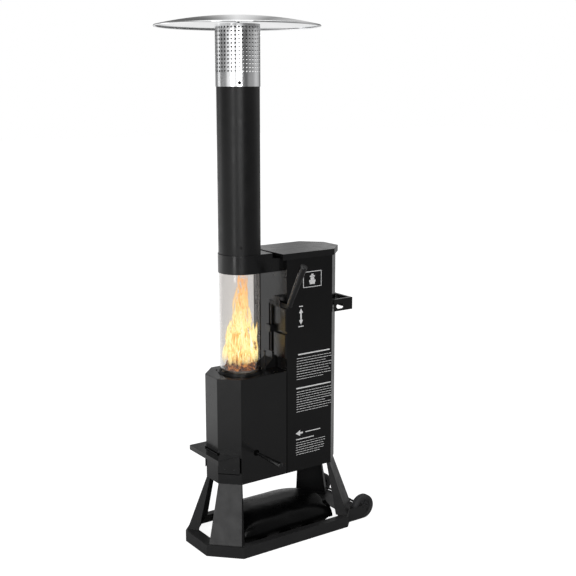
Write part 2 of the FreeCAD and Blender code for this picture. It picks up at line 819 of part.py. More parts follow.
def lid_hinges():
    """Two butt hinges on the far side: leaves on the wall and on the lid's lip, and a pin in each."""
    wall_leaves = []
    lid_leaves = []
    pins = []
    wall = s.sheet_wall
    half = s.body_half_width
    lip = half + s.lid_overhang
    lip_foot = lid_top - s.lid_lip
    knuckle = s.hinge_length / 3
    for label, start in (("first", s.hinge_first), ("second", s.hinge_first + s.hinge_pitch)):
        end = start + s.hinge_length
        shelf_top = hinge_z - s.knuckle_radius + wall / 2
        barrel = rod(f"barrel_{label}", s.knuckle_radius, (start, hinge_y, hinge_z), X_AXIS, s.hinge_length)
        bore = rod(f"hinge_bore_{label}", s.pin_radius + s.running_gap, (start, hinge_y, hinge_z), X_AXIS,
                   s.hinge_length)
        gap = box(f"knuckle_gap_{label}",
                  (start + knuckle, half + wall, shelf_top - 2 * wall),
                  (end - knuckle, hinge_y + 2 * s.knuckle_radius, hinge_z + 2 * s.knuckle_radius))
        leaf = box(f"leaf_{label}", (start, half, shelf_top - s.wall_leaf_drop),
                   (end, half + wall, shelf_top))
        shelf = box(f"shelf_{label}", (start, half, shelf_top - wall), (end, hinge_y, shelf_top))
        wall_leaves.append(cut(f"wall_leaf_{label}", fuse(f"wall_leaf_block_{label}", leaf, shelf, barrel),
                               bore, gap))
        low = start + knuckle + s.seat_gap
        high = end - knuckle - s.seat_gap
        middle = rod(f"knuckle_{label}", s.knuckle_radius, (low, hinge_y, hinge_z), X_AXIS, high - low)
        upright = box(f"lid_leaf_plate_{label}", (low, lip, lip_foot - wall),
                      (high, lip + wall, lip_foot + s.lid_leaf_rise))
        web = box(f"lid_leaf_web_{label}", (low, lip, lip_foot - wall), (high, hinge_y, lip_foot))
        lid_bore = rod(f"lid_bore_{label}", s.pin_radius + s.running_gap, (low, hinge_y, hinge_z), X_AXIS,
                       high - low)
        lid_leaves.append(cut(f"lid_leaf_{label}", fuse(f"lid_leaf_block_{label}", upright, web, middle),
                              lid_bore))
        pins.append(rod(f"hinge_pin_{label}", s.pin_radius, (start, hinge_y, hinge_z), X_AXIS,
                        s.hinge_length))
    group("hinge_wall_leaves", wall_leaves)
    group("hinge_lid_leaves", lid_leaves)
    group("hinge_pins", pins)


def draw_stadium(sketch, radius, end_x):
    """Straight sides from the hopper, joined by a half circle about the column."""
    middle = float(column_x)
    reach = float(radius)
    end = float(end_x)
    corners = [Vector(middle, -reach, 0), Vector(end, -reach, 0),
               Vector(end, reach, 0), Vector(middle, reach, 0)]
    first = sketch.GeometryCount
    for start, stop in zip(corners, corners[1:]):
        sketch.addGeometry(Part.LineSegment(start, stop), False)
    nose = Part.Arc(corners[3], Vector(middle - reach, 0, 0), corners[0])
    arc = sketch.addGeometry(nose, False)
    order = [first, first + 1, first + 2, arc]
    for shape, following in zip(order, order[1:] + order[:1]):
        sketch.addConstraint(Sketcher.Constraint("Coincident", shape, 2, following, 1))
    for kind, shape in (("Horizontal", first), ("Vertical", first + 1), ("Horizontal", first + 2)):
        sketch.addConstraint(Sketcher.Constraint(kind, shape))
    pin_point(sketch, arc, 3, column_x, 0)
    for shape, point, x in ((arc, 1, column_x), (arc, 2, column_x), (first, 2, end_x)):
        pin_x(sketch, shape, point, x)
    index = sketch.addConstraint(Sketcher.Constraint("Radius", arc, reach))
    sketch.setExpression(f"Constraints[{index}]", words(radius))


def stadium_feature(body, kind, offset, length, radius, end_x):
    feature = body.newObject(f"PartDesign::{kind}", f"{body.Name}_{kind.lower()}")
    feature.Profile = new_sketch(body, "XY_Plane", offset)
    draw_stadium(feature.Profile[0], radius, end_x)
    bind(feature, "Length", length)
    return feature


def collar_housing():
    """Round-nosed neck that holds the glass and the pipe and bolts to the hopper."""
    body = new_body("collar_housing")
    wall = s.thin_wall
    stadium_feature(body, "Pad", collar_foot, s.collar_rise, s.collar_radius, 0)
    stadium_feature(body, "Pocket", collar_top, s.collar_rise - wall, s.collar_radius - wall, -wall)
    pocket(body, "XY_Plane", collar_foot + wall, wall,
           circles=[(column_x, 0, s.glass_radius + wall / 2)])
    step = rectangle(-s.collar_step_length - wall, 0,
                     collar_top - s.collar_step_drop, collar_top)
    pocket(body, "XZ_Plane", s.collar_radius, 2 * s.collar_radius, [step])


def collar_cover():
    """Bent top sheet of the neck, stepped down to clear the lid's front lip."""
    body = new_body("collar_cover")
    wall = s.thin_wall
    low = collar_top - s.collar_step_drop
    stadium_feature(body, "Pad", low, s.collar_step_drop + wall, s.collar_radius, 0)
    step = -s.collar_step_length
    under = rectangle(column_x - s.collar_radius, step - wall, low, collar_top)
    over = rectangle(step, 0, low + wall, collar_top + wall)
    pocket(body, "XZ_Plane", s.collar_radius, 2 * s.collar_radius, [under, over])
    pocket(body, "XY_Plane", collar_top + wall, wall, circles=[(column_x, 0, s.flue_radius)])


def glass_column():
    """Glass tube between its seat on the firebox and the collar, with a gasket at each end."""
    inner = s.glass_radius - s.glass_wall
    ring_inner = s.pot_radius + 5 * s.sheet_wall
    lip_inner = s.glass_radius + s.thin_wall + s.seat_gap
    lip_outer = lip_inner + s.sheet_wall
    seat = [(ring_inner, 0), (s.collar_radius + 3 * s.sheet_wall, 0),
            (s.collar_radius + 3 * s.sheet_wall, s.sheet_wall * 2), (lip_outer, s.sheet_wall * 2),
            (lip_outer, s.glass_foot + 2 * s.sheet_wall), (lip_inner, s.glass_foot + 2 * s.sheet_wall),
            (lip_inner, s.sheet_wall * 2), (ring_inner, s.sheet_wall * 2)]
    turned("glass_seat_ring", "XZ_Plane", seat, column_x, 0, firebox_top)
    seat_top = firebox_top + 2 * s.sheet_wall
    foot = loose_tube("glass_foot_gasket", column_x, 0, seat_top, glass_bottom - seat_top,
                      s.glass_radius + s.thin_wall, ring_inner)
    length = collar_foot + s.glass_tuck - glass_bottom
    tube("glass_tube", column_x, 0, glass_bottom, length, s.glass_radius, inner)
    head = loose_tube("glass_head_gasket", column_x, 0, collar_foot + s.thin_wall,
                      s.glass_tuck - 2 * s.thin_wall, s.collar_radius - s.thin_wall - s.seat_gap,
                      s.glass_radius + s.seat_gap)
    group("glass_gaskets", [foot, head])


def chimney():
    """Black flue pipe on a short spigot."""
    inner = s.pipe_radius - s.thin_wall
    tube("chimney_pipe", column_x, 0, pipe_foot, s.pipe_length, s.pipe_radius, inner)
    tube("pipe_spigot", column_x, 0, pipe_foot, s.spigot_height, inner - s.seat_gap,
         inner - s.seat_gap - s.thin_wall)


def perforated_sleeve():
    """Bright sleeve over the end of the pipe, closed by a flat cap."""
    inner = s.pipe_radius + s.seat_gap
    outer = inner + s.sleeve_wall
    top = s.sleeve_length + s.sheet_wall
    profile = [(inner, 0), (outer, 0), (outer, top), (0, top), (0, s.sleeve_length), (inner, s.sleeve_length)]
    turned("perforated_sleeve", "XZ_Plane", profile, column_x, 0, sleeve_foot)


def reflector():
    """Shallow spun dome with a dished middle and a rolled rim, on a spacer."""
    spacer_foot = sleeve_top + s.sheet_wall
    spacer = rod("reflector_spacer", s.spacer_radius, (column_x, 0, spacer_foot), Z_AXIS, s.spacer_rise)
    body = loose_body("reflector_dome")
    wall = s.thin_wall
    edge = s.reflector_radius - s.roll_radius
    drop = s.reflector_drop - 2 * s.roll_radius
    curve = (edge * edge + drop * drop) / (2 * drop)
    brim = s.dish_radius + s.dish_depth
    flat = -s.dish_depth
    sketch = new_sketch(body, "XZ_Plane", 0)
    arcs = []
    for depth in (0, wall):
        middle = Vector(0, -float(curve) - float(depth), 0)
        start = math.acos(float(edge) / float(curve))
        end = math.acos(float(brim) / float(curve))
        circle = Part.Circle(middle, Vector(0, 0, 1), float(curve))
        arc = sketch.addGeometry(Part.ArcOfCircle(circle, start, end), False)
        pin_x(sketch, arc, 3, 0)
        pin_point(sketch, arc, 1, edge, -drop - depth)
        pin_x(sketch, arc, 2, brim)
        datum = sketch.addConstraint(Sketcher.Constraint("Radius", arc, float(curve)))
        sketch.setExpression(f"Constraints[{datum}]", words(curve))
        arcs.append(arc)
    upper, lower = arcs
    tips = {}
    for arc in arcs:
        for point in (1, 2):
            tips[arc, point] = sketch.getPoint(arc, point)
    dish = [(0, flat), (s.dish_radius, flat)]
    under = [(0, flat - wall), (s.dish_radius, flat - wall)]
    runs = [((lower, 1), (upper, 1)), (dish[1], (upper, 2)), (dish[0], dish[1]),
            (under[0], dish[0]), (under[0], under[1]), (under[1], (lower, 2))]
    lines = []
    for ends in runs:
        places = [tips[end] if end in tips else Vector(float(end[0]), float(end[1]), 0) for end in ends]
        lines.append(sketch.addGeometry(Part.LineSegment(*places), False))
    rim, slant, floor, axis, base, under_slant = lines
    joints = [(rim, 1, lower, 1), (rim, 2, upper, 1), (slant, 2, upper, 2), (slant, 1, floor, 2),
              (floor, 1, axis, 2), (axis, 1, base, 1), (base, 2, under_slant, 1), (under_slant, 2, lower, 2)]
    for joint in joints:
        sketch.addConstraint(Sketcher.Constraint("Coincident", *joint))
    pin_point(sketch, floor, 1, *dish[0])
    pin_point(sketch, floor, 2, *dish[1])
    pin_point(sketch, base, 1, *under[0])
    pin_point(sketch, base, 2, *under[1])
    feature = body.newObject("PartDesign::Revolution", "reflector_turn")
    feature.Profile = sketch
    feature.ReferenceAxis = (sketch, ["V_Axis"])
    place(body, column_x, 0, reflector_top)
    roll = doc.addObject("Part::Torus", "reflector_roll")
    bind(roll, "Radius1", edge)
    bind(roll, "Radius2", s.roll_radius)
    place(roll, column_x, 0, reflector_top - drop - s.roll_radius)
    node("reflector", fuse("reflector", body, roll))
    bolt = rod("reflector_bolt", s.spacer_radius / 2, (column_x, 0, reflector_top - s.dish_depth), Z_AXIS,
               s.dish_depth)
    group("reflector_fixings", [spacer, bolt])


def column_screws():
    """Round heads that hold the pipe on its spigot and the sleeve on the pipe."""
    rings = (("pipe", s.pipe_radius, pipe_foot + s.pipe_screw_rise),
             ("sleeve", s.pipe_radius + s.seat_gap + s.sleeve_wall, sleeve_foot + s.sleeve_screw_rise))
    heads = []
    for label, radius, height in rings:
        for angle in COLUMN_SCREW_ANGLES:
            outward = Vector(math.cos(math.radians(angle)), math.sin(math.radians(angle)), 0)
            reach = radius + s.seat_gap / 2
            start = (column_x + reach * outward.x, reach * outward.y, height)
            heads.append(rod(f"{label}_screw_{angle}", s.screw_radius, start, outward, s.screw_head))
    group("column_screws", heads)


def fire_pot():
    """Round burner pot that hangs by its flange in the firebox top."""
    wall = s.sheet_wall
    inner = s.pot_radius - wall
    lip = s.ash_tube_radius - wall
    flange = s.pot_radius + 4 * wall
    profile = [(lip, -s.pot_depth), (s.pot_radius, -s.pot_depth), (s.pot_radius, 0), (flange, 0),
               (flange, wall), (s.pot_radius, wall), (s.pot_radius, s.pot_height), (inner, s.pot_height),
               (inner, wall - s.pot_depth), (lip, wall - s.pot_depth)]
    body = turned("fire_pot", "XZ_Plane", profile, column_x, 0, firebox_top)
    centre = chute_z - s.column_setback + s.pot_radius + wall - firebox_top
    window = rectangle(-s.chute_half_width, s.chute_half_width,
                       centre - s.chute_half_height, centre + s.chute_half_height)
    pocket(body, "YZ_Plane", s.pot_radius + wall, s.pot_radius / 2, [window])
    grate = new_body("fire_grate")
    grate_foot = pot_foot + wall
    slots = []
    for index in range(-2, 3):
        middle = column_x + s.grate_slot_pitch * index
        reach = s.grate_slot_reach - s.grate_slot_step * abs(index)
        slots.append(rectangle(middle - s.grate_slot_half, middle + s.grate_slot_half, -reach, reach))
    pad(grate, "XY_Plane", grate_foot, s.grate_thickness, circles=[(column_x, 0, inner - s.seat_gap)])
    pocket(grate, "XY_Plane", grate_foot + s.grate_thickness, s.grate_thickness, slots)


def ash_parts():
    """Ash fall tube, riddling slide with its pull, and the frame that carries the slide."""
    wall = s.sheet_wall
    half = s.slide_thickness / 2
    slide_top = ash_slide_z + half
    slide_foot = ash_slide_z - half
    frame_top = slide_top + s.seat_gap + wall
    tube("ash_tube", column_x, 0, frame_top, pot_foot - frame_top, s.ash_tube_radius,
         s.ash_tube_radius - wall)
    side = s.ash_slide_half + s.seat_gap
    near = -s.body_half_width + wall
    far = s.ash_slide_half + s.slide_pitch
    frame = new_body("ash_slide_frame")
    lips_foot = slide_foot - s.seat_gap - wall
    outer = side + 2 * wall
    pad(frame, "XY_Plane", lips_foot, frame_top - lips_foot,
        [rectangle(column_x - outer, column_x + outer, near, far)])
    channel = rectangle(near, far, slide_foot - s.seat_gap, slide_top + s.seat_gap)
    pocket(frame, "YZ_Plane", side - s.column_setback, 2 * side, [channel])
    mouth = rectangle(column_x - side + s.slide_rail, column_x + side - s.slide_rail, near, far)
    pocket(frame, "XY_Plane", slide_foot - s.seat_gap, wall, [mouth])
    notch = s.pull_rod_radius + s.pull_rod_gap
    pocket(frame, "XY_Plane", frame_top, wall,
           [rectangle(column_x - notch, column_x + notch, near, s.pull_rod_gap - s.ash_slide_half)])
    reach = s.slide_slot_reach
    fixed_slots = []
    for index in (-1, 0, 1):
        middle = s.slide_pitch * index
        fixed_slots.append(rectangle(column_x - reach, column_x + reach, middle - s.slide_slot / 2,
                                     middle + s.slide_slot / 2))
    pocket(frame, "XY_Plane", frame_top, wall, fixed_slots)
    slide = new_body("ash_slide")
    plate = rectangle(column_x - s.ash_slide_half, column_x + s.ash_slide_half,
                      -s.ash_slide_half, s.ash_slide_half)
    pad(slide, "XY_Plane", slide_foot, s.slide_thickness, [plate])
    moving_slots = []
    for index in (-0.5, 0.5, 1.5):
        middle = s.slide_pitch * index
        moving_slots.append(rectangle(column_x - reach, column_x + reach, middle - s.slide_slot / 2,
                                      middle + s.slide_slot / 2))
    pocket(slide, "XY_Plane", slide_top, s.slide_thickness, moving_slots)
    node("ash_pull_rod", rod("ash_pull_rod", s.pull_rod_radius, (column_x, -s.pull_rod_end, ash_slide_z),
                             Y_AXIS, s.pull_rod_end - s.ash_slide_half))
    grip_end = s.pull_rod_end + s.pull_grip_length
    round_over = s.pull_grip_radius / 3
    grip = [(0, -grip_end), (s.pull_grip_radius - round_over, -grip_end),
            (s.pull_grip_radius, round_over - grip_end), (s.pull_grip_foot_radius, -s.pull_rod_end),
            (0, -s.pull_rod_end)]
    turned("ash_pull_grip", "XY_Plane", grip, column_x, 0, ash_slide_z)
    outside = s.body_half_width
    bore = s.pull_rod_radius + s.running_gap
    sleeve = s.pull_rod_radius + 2 * wall
    flange = sleeve + 2 * wall
    bush = [(bore, wall - outside), (sleeve, wall - outside), (sleeve, -outside), (flange, -outside),
            (flange, -outside - wall), (bore, -outside - wall)]
    turned("pull_rod_bush", "XY_Plane", bush, column_x, 0, ash_slide_z)


def ash_drawer():
    """Open-topped ash drawer behind a lapped front panel on the far side."""
    wall = s.thin_wall
    left = column_x - s.drawer_half_width
    right = column_x + s.drawer_half_width
    foot = floor_top + s.seat_gap
    outside = s.body_half_width
    body = new_body("ash_drawer")
    pad(body, "XY_Plane", foot, s.drawer_height, [rectangle(left, right, -s.drawer_near_end, outside)])
    pocket(body, "XY_Plane", foot + s.drawer_height, s.drawer_height - wall,
           [rectangle(left + wall, right - wall, wall - s.drawer_near_end, outside - wall)])
    lap = s.drawer_panel_lap
    node("drawer_panel", box("drawer_panel", (left - lap, outside, body_bottom + wall),
                             (right + lap, outside + s.sheet_wall, foot + s.drawer_height + lap)))
    face = outside + s.sheet_wall
    reach = s.drawer_pull_reach
    half = s.drawer_pull_half
    bar = s.drawer_pull_bar
    middle = foot + s.drawer_height / 2
    pull = new_body("drawer_pull")
    shape = [(column_x - half, face), (column_x - half, face + reach),
             (column_x + half, face + reach), (column_x + half, face),
             (column_x + half - bar, face), (column_x + half - bar, face + reach - bar),
             (column_x - half + bar, face + reach - bar), (column_x - half + bar, face)]
    pad(pull, "XY_Plane", middle, s.drawer_pull_height, [shape])
    runners = []
    for label, side in (("front", -1), ("back", 1)):
        inner = column_x + side * (s.drawer_half_width + s.seat_gap)
        low = inner if side > 0 else inner - s.sheet_wall
        runners.append(box(f"drawer_runner_{label}", (low, -s.drawer_near_end, floor_top),
                           (low + s.sheet_wall, outside - s.sheet_wall, floor_top + s.drawer_runner_rise)))
    group("drawer_runners", runners)


def feed_chute():
    """Square duct that falls at 45 degrees from the hopper to the fire pot."""
    body = new_body("feed_chute")
    start = s.sheet_wall
    end = s.pot_radius + s.seat_gap - s.column_setback
    outer = s.chute_half_height + s.chute_sheet
    half = s.chute_half_width + s.sheet_wall

    def slanted(rise):
        return [(start, chute_z + start - rise), (start, chute_z + start + rise),
                (end, chute_z + end + rise), (end, chute_z + end - rise)]

    pad(body, "XZ_Plane", -half, 2 * half, [slanted(outer)])
    pocket(body, "XZ_Plane", s.chute_half_width, 2 * s.chute_half_width, [slanted(s.chute_half_height)])
    slot_half = s.sheet_wall / 2 + s.gate_slot_gap
    slot_side = s.gate_half_width + s.gate_slot_gap
    slot = rectangle(-s.gate_setback - slot_half, slot_half - s.gate_setback,
                     -slot_side, slot_side)
    pocket(body, "XY_Plane", chute_z + outer, outer, [slot])


def feed_gate():
    """Sliding gate in the chute, hung on the feed rod, and the block that guides the rod."""
    half = s.sheet_wall / 2
    node("feed_gate", box("feed_gate", (-s.gate_setback - half, -s.gate_half_width, gate_foot),
                          (half - s.gate_setback, s.gate_half_width, gate_top)))
    rod_top = arm_foot - s.rod_top_gap
    node("feed_rod", rod("feed_rod", s.rod_radius, (-s.gate_setback, -s.rod_offset, gate_top), Z_AXIS,
                         rod_top - gate_top))
    guide = new_body("rod_guide")
    outline = rectangle(-s.guide_depth, 0, -s.rod_offset - s.guide_half_width,
                        s.guide_half_width - s.rod_offset)
    pad(guide, "XY_Plane", gate_top + s.guide_gap, s.guide_height, [outline],
        [(-s.gate_setback, -s.rod_offset, s.rod_radius + s.seat_gap)])


def gate_covers():
    """Two folded covers beside the rod on the hopper's front wall."""
    wall = s.thin_wall
    near = -s.body_half_width
    covers = {
        "upper_cover": (s.upper_cover_width, upper_cover_foot, s.upper_cover_height, s.upper_cover_depth),
        "lower_cover": (s.lower_cover_width, lower_cover_foot, s.lower_cover_height, s.lower_cover_depth),
    }
    bodies = []
    for name, (width, foot, height, depth) in covers.items():
        far = near + width
        body = loose_body(name)
        bodies.append(body)
        pad(body, "YZ_Plane", -depth, depth, [rectangle(near, far, foot, foot + height)])
        pocket(body, "YZ_Plane", 0, depth - wall,
               [rectangle(near + wall, far - wall, foot + wall, foot + height - wall)])
    group("gate_covers", bodies)


def lever_pivot():
    """Inverted U bracket on the hopper face and the pin that the lever turns on."""
    wall = s.sheet_wall
    depth = 2 * s.gate_setback
    near = -s.pivot_offset - s.bracket_side
    far = s.bracket_side - s.pivot_offset
    top = pivot_z + s.bracket_rise
    foot = arm_foot
    body = new_body("pivot_bracket")
    profile = [(-depth, foot), (-depth, top), (0, top), (0, foot), (-wall, foot), (-wall, top - wall),
               (wall - depth, top - wall), (wall - depth, foot)]
    pad(body, "XZ_Plane", -far, far - near, [profile])
    pocket(body, "YZ_Plane", 0, depth,
           circles=[(-s.pivot_offset, pivot_z, s.pivot_radius)])
    node("pivot_pin", rod("pivot_pin", s.pivot_radius, (-depth - wall, -s.pivot_offset, pivot_z), X_AXIS,
                          depth + wall))


def lever_point(distance, aside):
    """Point of the lever's plane, measured along and across the grip from its foot."""
    lean = math.radians(float(s.grip_lean))
    y = -float(s.grip_foot_offset) - distance * math.sin(lean) - aside * math.cos(lean)
    z = float(pivot_z - s.grip_foot_drop) + distance * math.cos(lean) - aside * math.sin(lean)
    return Vector(-float(s.gate_setback), y, z)


def feed_lever():
    """Flat rocker arm with a stem, and the tapered grip on the stem."""
    middle = -s.gate_setback
    half = s.arm_half_height
    inner = s.rod_radius - s.rod_offset + 3 * s.sheet_wall
    outer = -s.grip_foot_offset
    plate = loose_body("arm_plate")
    arm = [(inner, pivot_z - half), (inner, pivot_z + half),
           (outer + half, pivot_z + half), (outer, pivot_z - s.grip_foot_drop),
           (outer + half, pivot_z - half)]
    pad(plate, "YZ_Plane", middle - s.arm_thickness / 2, s.arm_thickness, [arm])
    pocket(plate, "YZ_Plane", middle + s.arm_thickness / 2, s.arm_thickness,
           circles=[(-s.pivot_offset, pivot_z, s.pivot_radius + s.running_gap)])
    lean = math.radians(float(s.grip_lean))
    along = Vector(0, -math.sin(lean), math.cos(lean))
    stem_length = float(s.stem_length)
    tip = float(s.stem_tuck)
    stem = solid("arm_stem",
                 Part.makeCylinder(float(s.stem_radius), stem_length, lever_point(-tip, 0), along))
    node("lever_arm", fuse("lever_arm", plate, stem))
    length = float(s.grip_length)
    low = float(s.grip_foot_radius)
    high = float(s.grip_top_radius)
    base = lever_point(tip, 0)
    cone = Part.makeCone(low, high, length - tip, base, along)
    round_over = float(s.grip_round)
    edges = [edge for edge in cone.Edges if isinstance(edge.Curve, Part.Circle)]
    cone = cone.makeFillet(round_over, edges)
    bore = Part.makeCylinder(float(s.stem_radius + s.running_gap),
                             stem_length - 2 * tip + float(s.seat_gap), base, along)
    node("lever_grip", solid("lever_grip", cone.cut(bore)))


def front_shelf():
    """Lifting shelf round the front of the firebox, with a lip and two flanges on the chamfers."""
    body = new_body("front_handle")
    wall = s.sheet_wall
    tip = -s.firebox_length - s.shelf_reach
    half = s.body_half_width
    corner = half - s.body_chamfer
    shoulder = s.body_chamfer - s.firebox_length - s.shelf_end_gap
    inner = half - s.shelf_end_gap
    plan = [(tip, -half), (shoulder, -half), (shoulder, -inner), (-s.firebox_length, -corner),
            (-s.firebox_length, corner), (shoulder, inner), (shoulder, half), (tip, half)]
    foot = shelf_z - wall
    pad(body, "XY_Plane", foot, wall, [plan])
    pad(body, "XY_Plane", shelf_z - s.shelf_lip, s.shelf_lip - wall,
        [rectangle(tip, tip + wall, -half, half)])
    near = s.shelf_flange_standoff * DIAGONAL
    far = near + s.shelf_flange_sheet * DIAGONAL
    for side in (-1, 1):
        strip = [(-s.firebox_length - near, side * (corner + near)), (shoulder - near, side * (inner + near)),
                 (shoulder - far, side * (inner + far)), (-s.firebox_length - far, side * (corner + far))]
        pad(body, "XY_Plane", shelf_z - s.shelf_flange_drop, s.shelf_flange_drop - wall, [strip])
    slot_half = corner - s.shelf_slot_end
    pocket(body, "XY_Plane", shelf_z, wall,
           [rectangle(-s.firebox_length - s.shelf_slot, -s.firebox_length, -slot_half, slot_half)])


def rear_handle():
    """Folded bar handle behind the hopper, with a window in each cheek."""
    body = new_body("rear_handle")
    wall = s.sheet_wall
    half = s.body_half_width
    start = s.handle_start
    end = s.hopper_length + s.handle_reach
    inner = half - wall
    bar = [(start, -half), (end, -half), (end, half), (start, half), (start, inner), (end - wall, inner),
           (end - wall, -inner), (start, -inner)]
    pad(body, "XY_Plane", handle_z, s.handle_height, [bar])
    rim = half - s.handle_flange
    edge = s.hopper_length + half - s.body_chamfer
    flange = [(edge - half, -half), (end, -half), (end, half), (edge - half, half), (edge - rim, rim),
              (end - s.handle_flange, rim), (end - s.handle_flange, -rim), (edge - rim, -rim)]
    pad(body, "XY_Plane", handle_z + s.handle_height - wall, wall, [flange])
    sheet_step = wall * DIAGONAL
    for side in (-1, 1):
        near = inner
        far = half - s.cheek_flange
        strip = [(edge - near, side * near), (edge - far, side * far),
                 (edge - far + sheet_step, side * (far + sheet_step)),
                 (edge - near + sheet_step, side * (near + sheet_step))]
        pad(body, "XY_Plane", handle_z, s.handle_height, [strip])
    left = s.window_start
    right = left + s.window_length
    low = handle_z + s.window_rise
    high = low + s.window_height
    turn = s.window_corner
    window = [(left + turn, low), (right - turn, low), (right, low + turn), (right, high - turn),
              (right - turn, high), (left + turn, high), (left, high - turn), (left, low + turn)]
    pocket(body, "XZ_Plane", half, wall, [window])
    pocket(body, "XZ_Plane", wall - half, wall, [window])


def leg_bolts():
    """Bolt heads on the ring's flange, one beside each leg."""
    middle = s.ring_half_length - s.ring_chamfer / 2
    offset = s.ring_half_width - s.ring_chamfer / 2
    reach = (s.leg_foot_half - s.leg_inset) * DIAGONAL
    heads = []
    for side_x in (-1, 1):
        for side_y in (-1, 1):
            x = side_x * (middle - reach - s.leg_bolt_inset)
            y = side_y * (offset + reach - s.leg_inset)
            label = f"leg_bolt_{side_x + 1}{side_y + 1}"
            heads.append(rod(label, s.screw_radius, (x, y, s.ring_height), Z_AXIS, s.screw_head))
    return heads


def handle_rivets():
    """Rivet heads on the flanges of the two handles."""
    shelf = shelf_z - s.shelf_rivet_drop
    low = handle_z + s.handle_rivet_rise
    shelf_face = s.shelf_flange_standoff + s.shelf_flange_sheet
    ends = (("front", -1, s.firebox_length, shelf_face, ((shelf, 0.3), (shelf, 0.7))),
            ("rear", 1, s.hopper_length, s.sheet_wall, ((low, 0.25), (low + s.handle_rivet_pitch, 0.25))))
    heads = []
    for end, side_x, length, proud, rivets in ends:
        edge = length + s.body_half_width - s.body_chamfer
        for side_y in (-1, 1):
            outward = Vector(side_x, side_y, 0) * DIAGONAL
            for index, (height, share) in enumerate(rivets):
                across = s.body_half_width - s.body_chamfer * share
                start = (side_x * (edge - across + proud * DIAGONAL),
                         side_y * (across + proud * DIAGONAL), height)
                label = f"handle_rivet_{end}_{side_y + 1}_{index}"
                heads.append(rod(label, s.screw_radius, start, outward, s.screw_head))
    return heads


def body_screws():
    """Every screw, rivet and bolt head of the body and its stand."""
    heads = leg_bolts() + handle_rivets()
    for side in (-1, 1):
        start = (-s.screw_head, side * (s.body_half_width - s.face_screw_setback),
                 hopper_rim - s.face_screw_drop)
        heads.append(rod(f"face_screw_{side + 1}", s.screw_radius, start, X_AXIS, s.screw_head))
    for index, angle in enumerate(PLATE_SCREW_ANGLES):
        x = column_x + s.plate_screw_circle * math.cos(math.radians(angle))
        y = s.plate_screw_circle * math.sin(math.radians(angle))
        heads.append(rod(f"plate_screw_{index}", s.screw_radius, (x, y, firebox_top), Z_AXIS,
                         2 * s.screw_head))
    x = column_x + s.plate_screw_circle * math.cos(math.radians(TALL_BOLT_ANGLE))
    y = s.plate_screw_circle * math.sin(math.radians(TALL_BOLT_ANGLE))
    shank = rod("tall_bolt_shank", s.rod_radius, (x, y, firebox_top), Z_AXIS, s.tall_bolt_rise)
    head = rod("tall_bolt_head", 2 * s.rod_radius, (x, y, firebox_top + s.tall_bolt_rise), Z_AXIS,
               s.tall_bolt_head)
    heads.append(fuse("tall_bolt", shank, head))
    group("body_screws", heads)


def build():
    """Make every sub-part."""
    for make in (base_ring, bag_straps, sandbag, legs, wheels, body_floor, firebox_shell,
                 firebox_top_plate, hopper_shell, recessed_pans, hopper_slope, hopper_lid, lid_hinges,
                 collar_housing, collar_cover, glass_column, chimney, perforated_sleeve, reflector,
                 column_screws, fire_pot, ash_parts, ash_drawer, feed_chute, feed_gate, gate_covers,
                 lever_pivot, feed_lever, front_shelf, rear_handle, body_screws):
        make()
    doc.recompute()


def check_and_export():
    """Stop on any failed object, then write one file for each sub-part."""
    failed = [item.Label for item in doc.Objects if "Invalid" in item.State or "Error" in item.State]
    if failed:
        raise RuntimeError(f"failed objects: {failed}")
    for item in doc.Objects:
        if item.TypeId == "PartDesign::Pocket" and not item.Shape.Volume < item.BaseFeature.Shape.Volume - 1:
            raise RuntimeError(f"{item.Label} cuts nothing")
    os.makedirs("parts", exist_ok=True)
    for name, item in nodes.items():
        if item.Shape.isNull() or not item.Shape.isValid():
            raise RuntimeError(f"{name} has no valid shape")
        item.Shape.exportStep(f"parts/{name}.step")
        extent = item.Shape.BoundBox
        print(f"{name}: {len(item.Shape.Solids)} solids, {item.Shape.Volume / 1000:.1f} cm3, "
              f"x {extent.XMin:.1f} {extent.XMax:.1f} y {extent.YMin:.1f} {extent.YMax:.1f} "
              f"z {extent.ZMin:.1f} {extent.ZMax:.1f}")


build()
check_and_export()
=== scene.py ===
import json
import math
import random
import bmesh
import bpy
from mathutils import Matrix, Vector, noise

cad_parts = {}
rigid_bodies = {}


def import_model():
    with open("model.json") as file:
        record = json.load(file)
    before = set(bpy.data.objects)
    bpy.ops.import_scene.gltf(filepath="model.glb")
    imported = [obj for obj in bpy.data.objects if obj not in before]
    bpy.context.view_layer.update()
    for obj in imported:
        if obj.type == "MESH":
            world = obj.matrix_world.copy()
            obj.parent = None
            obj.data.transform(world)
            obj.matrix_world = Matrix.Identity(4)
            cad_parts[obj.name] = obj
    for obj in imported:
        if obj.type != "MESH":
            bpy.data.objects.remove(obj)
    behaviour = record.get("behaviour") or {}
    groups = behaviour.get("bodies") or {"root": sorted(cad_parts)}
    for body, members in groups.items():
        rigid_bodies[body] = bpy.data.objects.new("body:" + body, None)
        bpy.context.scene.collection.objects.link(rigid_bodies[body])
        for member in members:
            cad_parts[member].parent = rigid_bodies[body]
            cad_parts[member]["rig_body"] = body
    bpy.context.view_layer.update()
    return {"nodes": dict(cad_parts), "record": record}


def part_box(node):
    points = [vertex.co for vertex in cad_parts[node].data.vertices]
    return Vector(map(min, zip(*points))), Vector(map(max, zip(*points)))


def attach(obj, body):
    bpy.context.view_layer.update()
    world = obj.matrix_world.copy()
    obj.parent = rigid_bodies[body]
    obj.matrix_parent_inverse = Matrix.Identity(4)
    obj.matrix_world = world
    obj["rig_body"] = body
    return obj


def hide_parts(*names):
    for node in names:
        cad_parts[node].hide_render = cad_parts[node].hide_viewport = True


# Pellet patio heater, in metres, in the frame of its construction model.
# +X points to the hopper and the wheels, -Y to the near side with the feed lever.

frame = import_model()
SEED = 20
draw = random.Random(SEED)

